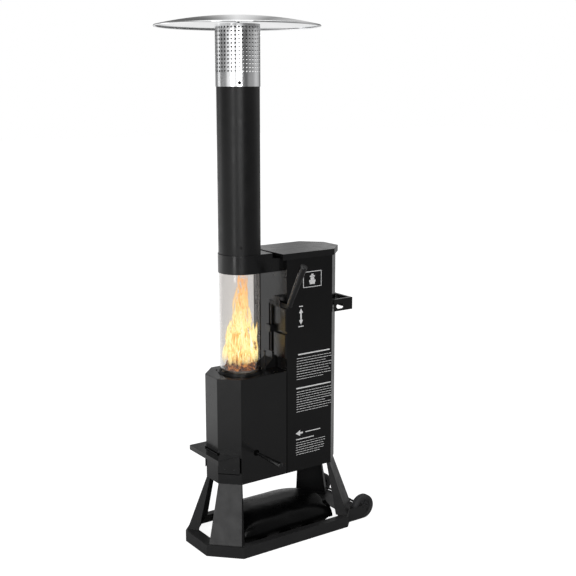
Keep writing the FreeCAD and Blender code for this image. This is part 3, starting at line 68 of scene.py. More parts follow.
# Camera of the photograph: where it stands and which way it looks
CAMERA_PLACE = (-2.3191, -3.4517, 1.901)
CAMERA_AZIMUTH = -34.88
CAMERA_DROP = 11.38
CAMERA_LENS = 63.5
SENSOR = 36.0

# Flame column
PIPE_LOW, PIPE_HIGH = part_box("chimney_pipe")
COLUMN = Vector(((PIPE_LOW.x + PIPE_HIGH.x) / 2, 0, 0))
PIPE_RADIUS = (PIPE_HIGH.y - PIPE_LOW.y) / 2
PIPE_WALL = 0.0015
GLASS_LOW, GLASS_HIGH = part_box("glass_tube")
GLASS_RADIUS = 0.0855
GLASS_WALL = 0.005
SLEEVE_LOW, SLEEVE_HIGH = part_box("perforated_sleeve")
SLEEVE_RADIUS = 0.0883
SLEEVE_WALL = 0.0014
HOLE_RADIUS = 0.004
HOLE_COLUMNS = 38
HOLE_ROWS = 12
HOLE_PITCH = 0.015
FIRST_HOLE_RISE = 0.0585
FIREBOX_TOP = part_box("firebox_top_plate")[1].z
ROUND_STEPS = 128

# Sheet edges
SHEET_BEND = 0.0007
SHELL_BEND = 0.002
THIN_BEND = 0.0005
SHARP = math.radians(28)

# How near two points count as one: in a construction solid's mesh, and in a new piece
LOOSE_MERGE = 0.00001
FINE_MERGE = 0.000002


# Shader tools

def shader(name):
    """A new material and its node tree, with the main shader ready."""
    material = bpy.data.materials.new(name)
    material.use_nodes = True
    tree = material.node_tree
    surface = tree.nodes["Principled BSDF"]
    return material, tree, surface


def feed(surface, socket, source):
    """Link a pattern to one of the shader's inputs."""
    surface.id_data.links.new(source, surface.inputs[socket])


def object_place(tree):
    """Object coordinates as they are."""
    return tree.nodes.new("ShaderNodeTexCoord").outputs["Object"]


def object_coordinates(tree, scale=(1, 1, 1)):
    """Object coordinates, stretched by a scale."""
    mapping = tree.nodes.new("ShaderNodeMapping")
    mapping.inputs["Scale"].default_value = scale
    tree.links.new(object_place(tree), mapping.inputs["Vector"])
    return mapping.outputs["Vector"]


def arithmetic(tree, operation, first, second, clamp=False):
    """Join two values by a Math node."""
    node = tree.nodes.new("ShaderNodeMath")
    node.operation = operation
    node.use_clamp = clamp
    tree.links.new(first, node.inputs[0])
    tree.links.new(second, node.inputs[1])
    return node.outputs["Value"]


def vector_math(tree, operation, first, second=None):
    """Join two vectors by a Vector Math node; the second may be a socket or plain numbers."""
    node = tree.nodes.new("ShaderNodeVectorMath")
    node.operation = operation
    tree.links.new(first, node.inputs[0])
    if isinstance(second, bpy.types.NodeSocket):
        tree.links.new(second, node.inputs[1])
    elif second is not None:
        node.inputs[1].default_value = second
    return node.outputs["Value" if operation in ("DOT_PRODUCT", "LENGTH") else "Vector"]


def grain(tree, coordinates, scale, detail=4.0):
    texture = tree.nodes.new("ShaderNodeTexNoise")
    texture.inputs["Scale"].default_value = scale
    texture.inputs["Detail"].default_value = detail
    tree.links.new(coordinates, texture.inputs["Vector"])
    return texture.outputs["Fac"]


def remap(tree, source, low, high, from_low=0.3, from_high=0.7):
    """Spread a pattern's values between two others."""
    spread = tree.nodes.new("ShaderNodeMapRange")
    spread.inputs["From Min"].default_value = from_low
    spread.inputs["From Max"].default_value = from_high
    spread.inputs["To Min"].default_value = low
    spread.inputs["To Max"].default_value = high
    tree.links.new(source, spread.inputs["Value"])
    return spread.outputs["Result"]


def blend_colours(tree, factor, first, second):
    mix = tree.nodes.new("ShaderNodeMix")
    mix.data_type = "RGBA"
    colours = [socket for socket in mix.inputs if socket.type == "RGBA"]
    for socket, colour in zip(colours, (first, second)):
        if isinstance(colour, bpy.types.NodeSocket):
            tree.links.new(colour, socket)
        else:
            socket.default_value = (*colour, 1)
    tree.links.new(factor, mix.inputs["Factor"])
    return next(socket for socket in mix.outputs if socket.type == "RGBA")


def ramp(tree, factor, stops):
    """A colour ramp through (place, colour) stops."""
    node = tree.nodes.new("ShaderNodeValToRGB")
    elements = node.color_ramp.elements
    while len(elements) < len(stops):
        elements.new(0.5)
    for element, (place, colour) in zip(elements, stops):
        element.position = place
        element.color = (*colour, 1)
    tree.links.new(factor, node.inputs["Fac"])
    return node.outputs["Color"]


def bump(tree, surface, height, strength, distance):
    node = tree.nodes.new("ShaderNodeBump")
    node.inputs["Strength"].default_value = strength
    node.inputs["Distance"].default_value = distance
    tree.links.new(height, node.inputs["Height"])
    feed(surface, "Normal", node.outputs["Normal"])


def edge_wear(tree, radius):
    """White near worn edges, broken up by a scuff pattern."""
    rounded = tree.nodes.new("ShaderNodeBevel")
    rounded.samples = 4
    rounded.inputs["Radius"].default_value = radius
    geometry = tree.nodes.new("ShaderNodeNewGeometry")
    agreement = vector_math(tree, "DOT_PRODUCT", rounded.outputs["Normal"], geometry.outputs["Normal"])
    edge = remap(tree, agreement, 1.0, 0.0, 0.78, 0.98)
    scuff = remap(tree, grain(tree, object_coordinates(tree), 60), 0.0, 1.0, 0.5, 0.66)
    return arithmetic(tree, "MULTIPLY", edge, scuff)


def ring_coordinates(tree, centre):
    """Distance from an upright axis, for lines that run round a spun sheet."""
    offset = vector_math(tree, "SUBTRACT", object_place(tree), centre)
    flat = vector_math(tree, "MULTIPLY", offset, (1, 1, 0))
    rings = tree.nodes.new("ShaderNodeCombineXYZ")
    tree.links.new(vector_math(tree, "LENGTH", flat), rings.inputs["X"])
    return rings.outputs["Vector"]


# Finishes

def powder_coat(name, colour, gloss, sheen=0.3):
    """Semi-gloss black powder coat: orange peel, faint dust and paler worn edges."""
    material, tree, surface = shader(name)
    coordinates = object_coordinates(tree)
    dusty = [channel * 1.25 for channel in colour]
    worn = [channel * 1.7 + 0.006 for channel in colour]
    paint = blend_colours(tree, remap(tree, grain(tree, coordinates, 9), 0.0, 1.0), colour, dusty)
    surface.inputs["Specular IOR Level"].default_value = sheen
    feed(surface, "Base Color", blend_colours(tree, edge_wear(tree, 0.0018), paint, worn))
    feed(surface, "Roughness", remap(tree, grain(tree, coordinates, 26), gloss - 0.05, gloss + 0.08))
    bump(tree, surface, grain(tree, coordinates, 900, 2.0), 0.08, 0.0002)
    return material


def dull_putty_and_painted_shade():
    """Dull black putty in the joints of the casing, also used as painted shade: dark strips and patches where
    shade falls beside the shelf, its flange and the pull rod.
    """
    material, tree, surface = shader("joint_putty_and_painted_shade")
    patches = grain(tree, object_coordinates(tree), 90)
    surface.inputs["Specular IOR Level"].default_value = 0.04
    black = ramp(tree, patches, [(0.35, (0.001, 0.001, 0.001)), (0.7, (0.002, 0.002, 0.002))])
    feed(surface, "Base Color", black)
    feed(surface, "Roughness", remap(tree, patches, 0.7, 0.85))
    bump(tree, surface, patches, 0.2, 0.0003)
    return material


def bright_sheet(name, line_scale, gloss, spun_about=None):
    """Polished stainless sheet, with fine lines along the tube or round the spun dome."""
    material, tree, surface = shader(name)
    surface.inputs["Metallic"].default_value = 1.0
    if spun_about is None:
        coordinates = object_coordinates(tree, (40, 40, 1.2))
    else:
        coordinates = ring_coordinates(tree, spun_about)
    lines = grain(tree, coordinates, line_scale, 3.0)
    blotch = grain(tree, object_coordinates(tree), 7)
    feed(surface, "Base Color", ramp(tree, blotch, [(0.3, (0.74, 0.75, 0.76)), (0.7, (0.86, 0.86, 0.865))]))
    feed(surface, "Roughness", remap(tree, lines, *gloss))
    bump(tree, surface, lines, 0.05, 0.0001)
    return material


def plain_steel(name, colour, gloss):
    """Zinc-plated, smoke-stained or heat-browned steel."""
    material, tree, surface = shader(name)
    surface.inputs["Metallic"].default_value = 1.0
    coordinates = object_coordinates(tree)
    patches = grain(tree, coordinates, 45)
    darker = [channel * 0.6 for channel in colour]
    feed(surface, "Base Color", ramp(tree, patches, [(0.3, darker), (0.65, colour)]))
    feed(surface, "Roughness", remap(tree, patches, gloss - 0.08, gloss + 0.15))
    bump(tree, surface, grain(tree, coordinates, 600, 2.0), 0.15, 0.0002)
    return material


def moulded_black(name, colour, gloss, grain_scale):
    """Moulded rubber or phenolic with a fine skin."""
    material, tree, surface = shader(name)
    coordinates = object_coordinates(tree)
    patches = grain(tree, coordinates, 30)
    paler = [channel * 1.8 + 0.004 for channel in colour]
    feed(surface, "Base Color", ramp(tree, patches, [(0.35, colour), (0.75, paler)]))
    feed(surface, "Roughness", remap(tree, patches, gloss - 0.06, gloss + 0.1))
    bump(tree, surface, grain(tree, coordinates, grain_scale, 3.0), 0.3, 0.0004)
    return material


def black_film():
    """Glossy black film with shallow creases, and painted shade: darker in the creases' hollows."""
    material, tree, surface = shader("bag_film")
    creases = grain(tree, object_coordinates(tree, (1, 1, 1.6)), 13, 3.0)
    surface.inputs["Specular IOR Level"].default_value = 0.14
    # Painted shade: this ramp makes the film darker where the creases sink and paler on their ridges.
    dust = ramp(tree, creases, [(0.35, (0.0015, 0.0015, 0.0016)), (0.75, (0.003, 0.003, 0.0032))])
    feed(surface, "Base Color", dust)
    feed(surface, "Roughness", remap(tree, creases, 0.24, 0.34))
    bump(tree, surface, creases, 0.12, 0.002)
    return material


def clear_glass():
    """Clear borosilicate with a faint haze."""
    material, tree, surface = shader("tube_glass")
    surface.inputs["Base Color"].default_value = (0.745, 0.727, 0.71, 1)
    surface.inputs["Transmission Weight"].default_value = 1.0
    surface.inputs["IOR"].default_value = 1.47
    haze = grain(tree, object_coordinates(tree, (1, 1, 0.2)), 18)
    feed(surface, "Roughness", remap(tree, haze, 0.0, 0.05))
    return material


def woven_rope():
    """Pale woven glass-fibre rope."""
    material, tree, surface = shader("woven_gasket")
    weave = grain(tree, object_coordinates(tree, (1, 1, 3)), 320, 2.0)
    feed(surface, "Base Color", ramp(tree, weave, [(0.3, (0.36, 0.34, 0.31)), (0.7, (0.6, 0.58, 0.54))]))
    surface.inputs["Roughness"].default_value = 0.95
    bump(tree, surface, weave, 0.7, 0.001)
    return material


def screen_print():
    """White screen print, a little worn."""
    material, tree, surface = shader("white_print")
    wear = grain(tree, object_coordinates(tree), 240)
    feed(surface, "Base Color", ramp(tree, wear, [(0.26, (0.7, 0.7, 0.7)), (0.4, (0.96, 0.96, 0.96))]))
    feed(surface, "Roughness", remap(tree, wear, 0.5, 0.65))
    bump(tree, surface, wear, 0.1, 0.0001)
    return material


COAT = powder_coat("black_coat", (0.006, 0.006, 0.0063), 0.2, 0.42)
HOPPER_COAT = powder_coat("hopper_coat", (0.0035, 0.0035, 0.0037), 0.2, 0.34)
STAND_COAT = powder_coat("stand_coat", (0.02, 0.02, 0.0205), 0.36)
FLUE_COAT = powder_coat("flue_coat", (0.008, 0.008, 0.0083), 0.33, 0.27)
# Matt black coat: the own finish of the screws, the feed chute and the lever arm; on the face pans it is
# painted shade that darkens the hollow behind the feed rod's slot.
MATT_BLACK_AND_SHADE_COAT = powder_coat("matt_black_coat_and_painted_shade", (0.004, 0.004, 0.0042), 0.5)
# Dull black putty: a real bead in the casing's upright joint, and painted shade in the strips at the shelf,
# under its flange and on the pull rod's bush.
PUTTY_AND_PAINTED_SHADE = dull_putty_and_painted_shade()
SLEEVE_STEEL = bright_sheet("sleeve_steel", 14, (0.12, 0.24))
DOME_STEEL = bright_sheet("dome_steel", 380, (0.06, 0.13), COLUMN)
STEEL = plain_steel("zinc_steel", (0.6, 0.61, 0.63), 0.3)
DARK_STEEL = plain_steel("dark_screw_steel", (0.06, 0.06, 0.062), 0.4)
STAINED_STEEL = plain_steel("smoke_stained_steel", (0.3, 0.3, 0.3), 0.5)
HOT_STEEL = plain_steel("heat_browned_steel", (0.3, 0.26, 0.22), 0.42)
TYRE_RUBBER = moulded_black("tyre_rubber", (0.022, 0.022, 0.023), 0.62, 300)
HUB_PLASTIC = moulded_black("hub_plastic", (0.02, 0.02, 0.021), 0.45, 500)
GRIP_PLASTIC = moulded_black("grip_phenolic", (0.0045, 0.0045, 0.0048), 0.18, 700)
BAG_FILM = black_film()
GLASS = clear_glass()
GASKET = woven_rope()
PRINT = screen_print()
SLOT_MATERIALS = {
    "black_coat": COAT, "black_leg_coat": STAND_COAT, "bright_steel": SLEEVE_STEEL, "steel": STEEL,
    "hot_steel": HOT_STEEL, "glass": GLASS, "gasket": GASKET, "rubber": TYRE_RUBBER,
    "hub_plastic": HUB_PLASTIC, "grip_plastic": GRIP_PLASTIC, "bag_film": BAG_FILM,
}
NODE_MATERIALS = {
    # Painted shade: the face pans take the matt black coat so that the hollow behind the feed rod's slot
    # reads dark.
    "hopper_shell": HOPPER_COAT, "face_pans": MATT_BLACK_AND_SHADE_COAT, "feed_chute": MATT_BLACK_AND_SHADE_COAT, "lever_arm": MATT_BLACK_AND_SHADE_COAT,
    # The pull rod's bush takes the dull black putty: a dark bush that also stands in as painted shade round
    # the rod's foot.
    "pull_rod_bush": PUTTY_AND_PAINTED_SHADE, "ash_pull_rod": DARK_STEEL, "feed_rod": DARK_STEEL,
}
NODE_SLOTS = {item["node"]: item["material_slot"] for item in frame["record"]["subparts"]}


def node_material(node):
    return NODE_MATERIALS.get(node, SLOT_MATERIALS[NODE_SLOTS[node]])


# Mesh tools

def body_of(node):
    return frame["nodes"][node]["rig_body"]


def add_object(name, data):
    item = bpy.data.objects.new(name, data)
    bpy.context.scene.collection.objects.link(item)
    return item


def node_bmesh(node):
    """A copy of a construction solid's mesh, with its loose triangles joined."""
    bm = bmesh.new()
    bm.from_mesh(frame["nodes"][node].data)
    bmesh.ops.remove_doubles(bm, verts=bm.verts, dist=LOOSE_MERGE)
    return bm


def verts_in(geometry):
    return [item for item in geometry if isinstance(item, bmesh.types.BMVert)]


def finish_piece(name, bm, material, body="root", replaces=(), angle=SHARP, recalc=True):
    """Turn a bmesh into a piece that rides on a body."""
    bmesh.ops.remove_doubles(bm, verts=bm.verts, dist=FINE_MERGE)
    if recalc:
        bmesh.ops.recalc_face_normals(bm, faces=bm.faces)
    mesh = bpy.data.meshes.new(name)
    bm.to_mesh(mesh)
    bm.free()
    mesh.shade_smooth()
    mesh.set_sharp_from_angle(angle=angle)
    mesh.materials.append(material)
    piece = add_object(name, mesh)
    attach(piece, body)
    if replaces:
        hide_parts(*replaces)
    return piece


def bevel_sharp(bm, width):
    """Round every sharp edge."""
    edges = [edge for edge in bm.edges if len(edge.link_faces) == 2 and edge.calc_face_angle(0) > SHARP]
    bmesh.ops.bevel(bm, geom=edges, offset=width, affect="EDGES", segments=2, profile=0.5,
                    material=-1, clamp_overlap=True)


def rounded_node(node, width):
    """A folded sheet piece with the small bend radii and soft cut edges of the real one."""
    flat = math.radians(0.5)
    bm = node_bmesh(node)
    bmesh.ops.dissolve_limit(bm, angle_limit=flat, verts=bm.verts, edges=bm.edges)
    bevel_sharp(bm, width)
    piece = finish_piece(f"{node}_finished", bm, node_material(node), body_of(node),
                         (node,), recalc=False)
    flat_faces = piece.modifiers.new("flat_faces", "WEIGHTED_NORMAL")
    flat_faces.keep_sharp = True


def spin_profile(bm, profile, centre, axis=(0, 0, 1), steps=ROUND_STEPS):
    """Turn a closed outline of (radius, height) points about an axis through a centre."""
    across = Vector((1, 0, 0))
    axis = Vector(axis)
    verts = [bm.verts.new(centre + across * radius + axis * height) for radius, height in profile]
    edges = [bm.edges.new(pair) for pair in zip(verts, verts[1:] + verts[:1])]
    bmesh.ops.spin(bm, geom=verts + edges, cent=centre, axis=axis, angle=2 * math.pi, steps=steps,
                   use_merge=True, use_duplicate=False)
    bmesh.ops.remove_doubles(bm, verts=bm.verts, dist=FINE_MERGE)
    bmesh.ops.dissolve_degenerate(bm, edges=bm.edges, dist=FINE_MERGE / 2)


def turned_piece(name, profile, centre, material, replaces=(), body="root", axis=(0, 0, 1),
                 steps=ROUND_STEPS):
    bm = bmesh.new()
    spin_profile(bm, profile, centre, axis, steps)
    return finish_piece(name, bm, material, body, replaces)


def block(bm, low, high):
    """Add a box between two corners."""
    low = Vector(low)
    high = Vector(high)
    matrix = Matrix.Translation((low + high) / 2) @ Matrix.Diagonal((*(high - low), 1))
    return bmesh.ops.create_cube(bm, size=1, matrix=matrix)["verts"]


def peg(bm, matrix, sides, radius, length):
    """Add a round or hexagonal peg whose middle and turn are given by a matrix."""
    bmesh.ops.create_cone(bm, cap_ends=True, segments=sides, radius1=radius, radius2=radius, depth=length,
                          matrix=matrix)


def away_from_column(place):
    """Level direction from the column's axis to a place."""
    aside = place - COLUMN
    aside.z = 0
    return aside.normalized()


# Column

def chimney():
    """Plain flue pipe with eased outer edges."""
    low = PIPE_LOW.z
    high = PIPE_HIGH.z
    inner = PIPE_RADIUS - PIPE_WALL
    ease = 0.0006
    shoulder = PIPE_RADIUS - 0.0004
    profile = [(inner, low), (shoulder, low), (PIPE_RADIUS, low + ease), (PIPE_RADIUS, high - ease),
               (shoulder, high), (inner, high)]
    turned_piece("flue_pipe", profile, COLUMN, FLUE_COAT, ("chimney_pipe",))


def round_shading(piece):
    """Shade a rolled sheet as the true cylinder that it stands for, apart from the holes' edges."""
    mesh = piece.data
    normals = []
    for face in mesh.polygons:
        facing = face.normal.dot(away_from_column(face.center))
        for index in face.vertices:
            if abs(facing) > 0.8:
                normals.append(away_from_column(mesh.vertices[index].co) * math.copysign(1, facing))
            else:
                normals.append(face.normal.copy())
    mesh.normals_split_custom_set(normals)


def holed_cell(bm, cell_width):
    """One flat cell of the sleeve's sheet, with its round hole."""
    half_width = cell_width / 2
    half_height = HOLE_PITCH / 2
    sides = 12
    turn = Matrix.Rotation(math.pi / sides, 4, "Z")
    hole = bmesh.ops.create_circle(bm, segments=sides, radius=HOLE_RADIUS, matrix=turn)["verts"]
    rim = bmesh.ops.create_circle(bm, segments=sides, radius=half_height, matrix=turn)["verts"]
    for vert in rim:
        square = vert.co / max(abs(vert.co.x), abs(vert.co.y))
        vert.co = Vector((round(square.x * 3) / 3 * half_width, round(square.y * 3) / 3 * half_height, 0))
    loops = {edge for vert in hole + rim for edge in vert.link_edges}
    bmesh.ops.bridge_loops(bm, edges=list(loops))
    bmesh.ops.translate(bm, verts=bm.verts, vec=(half_width, FIRST_HOLE_RISE, 0))


def plain_bands(bm, sheet_height):
    """Draw the sheet out past the first and the last row of holes."""
    first_edge = FIRST_HOLE_RISE - HOLE_PITCH / 2
    last_edge = FIRST_HOLE_RISE + (HOLE_ROWS - 0.5) * HOLE_PITCH
    for edge_height, end in ((first_edge, 0.0), (last_edge, sheet_height)):
        rim_edges = [edge for edge in bm.edges if edge.is_boundary
                     and all(abs(vert.co.y - edge_height) < 0.0001 for vert in edge.verts)]
        for vert in verts_in(bmesh.ops.extrude_edge_only(bm, edges=rim_edges)["geom"]):
            vert.co.y = end


def perforated_sleeve():
    """Bright sleeve: one holed cell, repeated over a flat sheet that is rolled up."""
    lid = 0.002
    rolled_merge = 0.00005
    bm = bmesh.new()
    cell_width = 2 * math.pi * SLEEVE_RADIUS / HOLE_COLUMNS
    holed_cell(bm, cell_width)
    cell = bm.verts[:] + bm.edges[:] + bm.faces[:]
    for column in range(HOLE_COLUMNS):
        for row in range(HOLE_ROWS):
            if column == 0 and row == 0:
                continue
            copy = verts_in(bmesh.ops.duplicate(bm, geom=cell)["geom"])
            bmesh.ops.translate(bm, verts=copy, vec=(column * cell_width, row * HOLE_PITCH, 0))
    bmesh.ops.remove_doubles(bm, verts=bm.verts, dist=LOOSE_MERGE)
    plain_bands(bm, SLEEVE_HIGH.z - SLEEVE_LOW.z - lid)
    for vert in bm.verts:
        angle = vert.co.x / SLEEVE_RADIUS
        height = SLEEVE_LOW.z + vert.co.y
        vert.co = COLUMN + Vector((SLEEVE_RADIUS * math.cos(angle), SLEEVE_RADIUS * math.sin(angle), height))
    bmesh.ops.remove_doubles(bm, verts=bm.verts, dist=rolled_merge)
    bmesh.ops.recalc_face_normals(bm, faces=bm.faces)
    bmesh.ops.solidify(bm, geom=bm.faces, thickness=SLEEVE_WALL)
    piece = finish_piece("holed_sleeve", bm, SLEEVE_STEEL, replaces=("perforated_sleeve",),
                         angle=math.radians(50))
    piece.data.materials.append(STAINED_STEEL)
    for face in piece.data.polygons:
        if face.normal.dot(away_from_column(face.center)) < -0.5:
            face.material_index = 1
    round_shading(piece)
    foot = SLEEVE_HIGH.z - lid
    ease = 0.0005
    cap = [(0, foot), (SLEEVE_RADIUS, foot), (SLEEVE_RADIUS, SLEEVE_HIGH.z - ease),
           (SLEEVE_RADIUS - ease, SLEEVE_HIGH.z), (0, SLEEVE_HIGH.z)]
    turned_piece("sleeve_lid", cap, COLUMN, SLEEVE_STEEL)


DISH_DEPTH = 0.004
DOME_WALL = 0.0015


def reflector_dome(top):
    """Spun dome with a dished middle and a rolled rim."""
    low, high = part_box("reflector")
    roll = 0.0035
    edge = (high.y - low.y) / 2 - roll
    drop = top - low.z - 2 * roll
    curve = (edge * edge + drop * drop) / (2 * drop)
    dish = 0.02
    dish_floor = top - DISH_DEPTH
    dish_lip = 0.0008
    steps = 28
    rim_steps = 13
    rim_turn = math.pi * 1.62 / rim_steps

    def on_dome(reach):
        return top - curve + math.sqrt(curve * curve - reach * reach)

    def rolled(radius, counts):
        angles = [math.pi / 2 - count * rim_turn for count in counts]
        middle = on_dome(edge) - roll
        return [(edge + radius * math.cos(angle), middle + radius * math.sin(angle)) for angle in angles]

    dish_edge = dish + DISH_DEPTH
    reaches = [dish_edge + (edge - dish_edge) * step / steps for step in range(steps + 1)]
    upper = [(0, dish_floor), (dish - 0.002, dish_floor), (dish + 0.001, dish_floor + dish_lip)]
    upper += [(reach, on_dome(reach)) for reach in reaches]
    rim = rolled(roll, range(1, rim_steps + 1)) + rolled(roll - 0.0009, range(rim_steps, 2, -1))
    under = [(reach, on_dome(reach) - DOME_WALL) for reach in reversed(reaches[:-1])]
    under += [(dish + 0.001, dish_floor + dish_lip - DOME_WALL), (dish - 0.002, dish_floor - DOME_WALL),
              (0, dish_floor - DOME_WALL)]
    bm = bmesh.new()
    spin_profile(bm, upper + rim + under, COLUMN, steps=160)
    finish_piece("reflector_dome", bm, DOME_STEEL, replaces=("reflector",),
                 angle=math.radians(60))


def reflector_fixings(low, top):
    """Flanged spacer under the dome and the nut in its dish."""
    seat = top - DISH_DEPTH - DOME_WALL
    flange = 0.014
    waist = flange - 0.004
    spacer = [(0, low), (flange, low), (flange, low + 0.004), (waist, low + 0.006), (waist, seat - 0.006),
              (flange, seat - 0.004), (flange, seat), (0, seat)]
    turned_piece("reflector_boss", spacer, COLUMN, DOME_STEEL, ("reflector_fixings",),
                 steps=48)
    bm = bmesh.new()
    peg(bm, Matrix.Translation(COLUMN + Vector((0, 0, top - DISH_DEPTH / 2))), 6, 0.0065, DISH_DEPTH)
    bevel_sharp(bm, 0.0006)
    finish_piece("reflector_nut", bm, STEEL)


def reflector():
    fixings_low, fixings_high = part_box("reflector_fixings")
    reflector_dome(fixings_high.z)
    reflector_fixings(fixings_low.z, fixings_high.z)


def flame_glass():
    """Clear tube with fire-polished ends."""
    inner = GLASS_RADIUS - GLASS_WALL
    low = GLASS_LOW.z
    high = GLASS_HIGH.z
    lip = 0.0012
    profile = [(inner + lip, low), (GLASS_RADIUS - lip, low), (GLASS_RADIUS, low + lip),
               (GLASS_RADIUS, high - lip), (GLASS_RADIUS - lip, high), (inner + lip, high),
               (inner, high - lip), (inner, low + lip)]
    turned_piece("flame_glass", profile, COLUMN, GLASS, ("glass_tube",))


def screw_head(bm, place, outward, radius=0.0035, height=0.002, recess=True):
    """Domed pan head with a cross recess."""
    slot_half = 0.0004
    slot_reach = radius * 0.62
    slot_depth = 0.0006
    head = bmesh.ops.create_uvsphere(bm, u_segments=20, v_segments=10, radius=radius)["verts"]
    for vert in head:
        vert.co.z = max(vert.co.z, 0) * height / radius
        across = min(abs(vert.co.x), abs(vert.co.y))
        if recess and across < slot_half and vert.co.xy.length < slot_reach:
            vert.co.z -= slot_depth
    turn = Vector((0, 0, 1)).rotation_difference(Vector(outward)).to_matrix().to_4x4()
    bmesh.ops.transform(bm, matrix=Matrix.Translation(place) @ turn, verts=head)


def joined_to(start):
    """All the points that edges join to one."""
    found = {start}
    stack = [start]
    while stack:
        vert = stack.pop()
        for edge in vert.link_edges:
            other = edge.other_vert(vert)
            if other not in found:
                found.add(other)
                stack.append(other)
    return found


def loose_parts(node):
    """The boxes of the separate solids in a node, in the order of their places."""
    bm = node_bmesh(node)
    seen = set()
    boxes = []
    for start in bm.verts:
        if start in seen:
            continue
        solid = joined_to(start)
        seen |= solid
        low = Vector([min(vert.co[axis] for vert in solid) for axis in range(3)])
        high = Vector([max(vert.co[axis] for vert in solid) for axis in range(3)])
        boxes.append((low, high))
    bm.free()
    return sorted(boxes, key=lambda pair: tuple(round(value, 5) for value in pair[0]))


def column_screws():
    """Black pan-head screws in the pipe and, larger, in the sleeve."""
    bm = bmesh.new()
    for low, high in loose_parts("column_screws"):
        middle = (low + high) / 2
        outward = away_from_column(middle)
        radius = 0.007 if low.z > SLEEVE_LOW.z else 0.0052
        screw_head(bm, middle - outward * 0.001, outward, radius=radius)
    finish_piece("pan_head_screws", bm, MATT_BLACK_AND_SHADE_COAT, replaces=("column_screws",), recalc=False)


# Fire

FLAME_LOW = FIREBOX_TOP + 0.034
FLAME_HIGH = GLASS_HIGH.z
FLAME_STRENGTH = 1.7
FLAME_LEAN = Vector((0.011, -0.008, 0))
FLAME_TIP = (0.8, 0.27, 0.04)

# Places of the four colours in the strands' pattern, and the flame's (share of height, share of width)
STRAND_STOPS = (0.4, 0.47, 0.53, 0.6)
FLAME_OUTLINE = ((0.0, 0.9), (0.05, 0.98), (0.12, 1.0), (0.22, 0.93), (0.33, 0.8), (0.45, 0.63), (0.58, 0.49),
                 (0.72, 0.38), (0.88, 0.31), (1.0, 0.22))


def flame_gas(name, colours, cover, strand_scale):
    """Glowing gas in fine rising strands, from dark orange at their edges to pale yellow."""
    material, tree, surface = shader(name)
    tree.nodes.remove(surface)
    texture = tree.nodes.new("ShaderNodeTexNoise")
    texture.inputs["Scale"].default_value = strand_scale
    texture.inputs["Detail"].default_value = 4.0
    texture.inputs["Distortion"].default_value = 0.9
    tree.links.new(object_coordinates(tree, (1, 1, 0.15)), texture.inputs["Vector"])
    strands = texture.outputs["Fac"]
    parts = tree.nodes.new("ShaderNodeSeparateXYZ")
    tree.links.new(object_place(tree), parts.inputs["Vector"])
    share = remap(tree, parts.outputs["Z"], 0.0, 1.0, FLAME_LOW, FLAME_HIGH)
    bright = ramp(tree, strands, list(zip(STRAND_STOPS, colours)))
    tint = remap(tree, share, 0.0, 0.9, 0.4, 1.0)
    glow = tree.nodes.new("ShaderNodeEmission")
    glow.inputs["Strength"].default_value = FLAME_STRENGTH
    tree.links.new(blend_colours(tree, tint, bright, FLAME_TIP), glow.inputs["Color"])
    thin, thick = cover
    body = remap(tree, strands, thin, thick, 0.44, 0.56)
    foot = remap(tree, share, 0.0, 1.0, 0.0, 0.13)
    fade = remap(tree, share, 1.0, 0.6, 0.5, 1.0)
    dense = arithmetic(tree, "MULTIPLY", arithmetic(tree, "MULTIPLY", body, foot), fade)
    clear = tree.nodes.new("ShaderNodeBsdfTransparent")
    mix = tree.nodes.new("ShaderNodeMixShader")
    tree.links.new(dense, mix.inputs["Fac"])
    tree.links.new(clear.outputs["BSDF"], mix.inputs[1])
    tree.links.new(glow.outputs["Emission"], mix.inputs[2])
    tree.links.new(mix.outputs["Shader"], tree.nodes["Material Output"].inputs["Surface"])
    return material


def glowing_pellet():
    """Charred wood pellet with orange embers."""
    material, tree, surface = shader("glowing_pellet")
    embers = grain(tree, object_coordinates(tree), 75, 3.0)
    char = [(0.4, (0.014, 0.007, 0.004)), (0.62, (0.09, 0.032, 0.009))]
    glow = [(0.4, (0.04, 0.011, 0.002)), (0.53, (0.28, 0.075, 0.01)), (0.66, (0.9, 0.33, 0.05))]
    feed(surface, "Base Color", ramp(tree, embers, char))
    feed(surface, "Emission Color", ramp(tree, embers, glow))
    surface.inputs["Roughness"].default_value = 0.9
    surface.inputs["Emission Strength"].default_value = 0.75
    bump(tree, surface, embers, 0.5, 0.001)
    return material


def flame_piece(name, bm, material):
    """A piece of flame; daylight drowns the glow that it throws on the sheets round it."""
    piece = finish_piece(name, bm, material, angle=math.pi)
    piece.visible_diffuse = False
    piece.visible_glossy = False


def tongue(name, material, foot, height, width, phase):
    """One tongue of flame: a ball drawn up to a wavering tip."""
    sway = 0.02
    tip_narrowing = 0.62
    lick_depth = 0.6
    bm = bmesh.new()
    bmesh.ops.create_icosphere(bm, subdivisions=4, radius=1)
    for vert in bm.verts:
        share = (vert.co.z + 1) / 2
        taper = math.sin(math.pi * min(1, share * 0.92 + 0.08)) ** 0.7 * (1 - share * tip_narrowing)
        direction = Vector((vert.co.x, vert.co.y, 0))
        if direction.length > 0:
            direction.normalize()
        lick = noise.noise(Vector((direction.x * 1.4 + phase, direction.y * 1.4, share * 3.2 + phase)))
        drift_x = noise.noise(Vector((phase, 5.1, share * 2.4))) * sway * share
        drift_y = noise.noise(Vector((phase, 9.7, share * 2.4))) * sway * share
        reach = width * taper * (1 + lick_depth * lick)
        vert.co = Vector((foot[0] + direction.x * reach + drift_x, foot[1] + direction.y * reach + drift_y,
                          foot[2] + share * height))
    flame_piece(name, bm, material)


def flame_width(share):
    """Share of the flame's full width at a share of its height."""
    first, second = next(pair for pair in zip(FLAME_OUTLINE, FLAME_OUTLINE[1:]) if share <= pair[1][0])
    along = (share - first[0]) / (second[0] - first[0])
    return first[1] + (second[1] - first[1]) * along


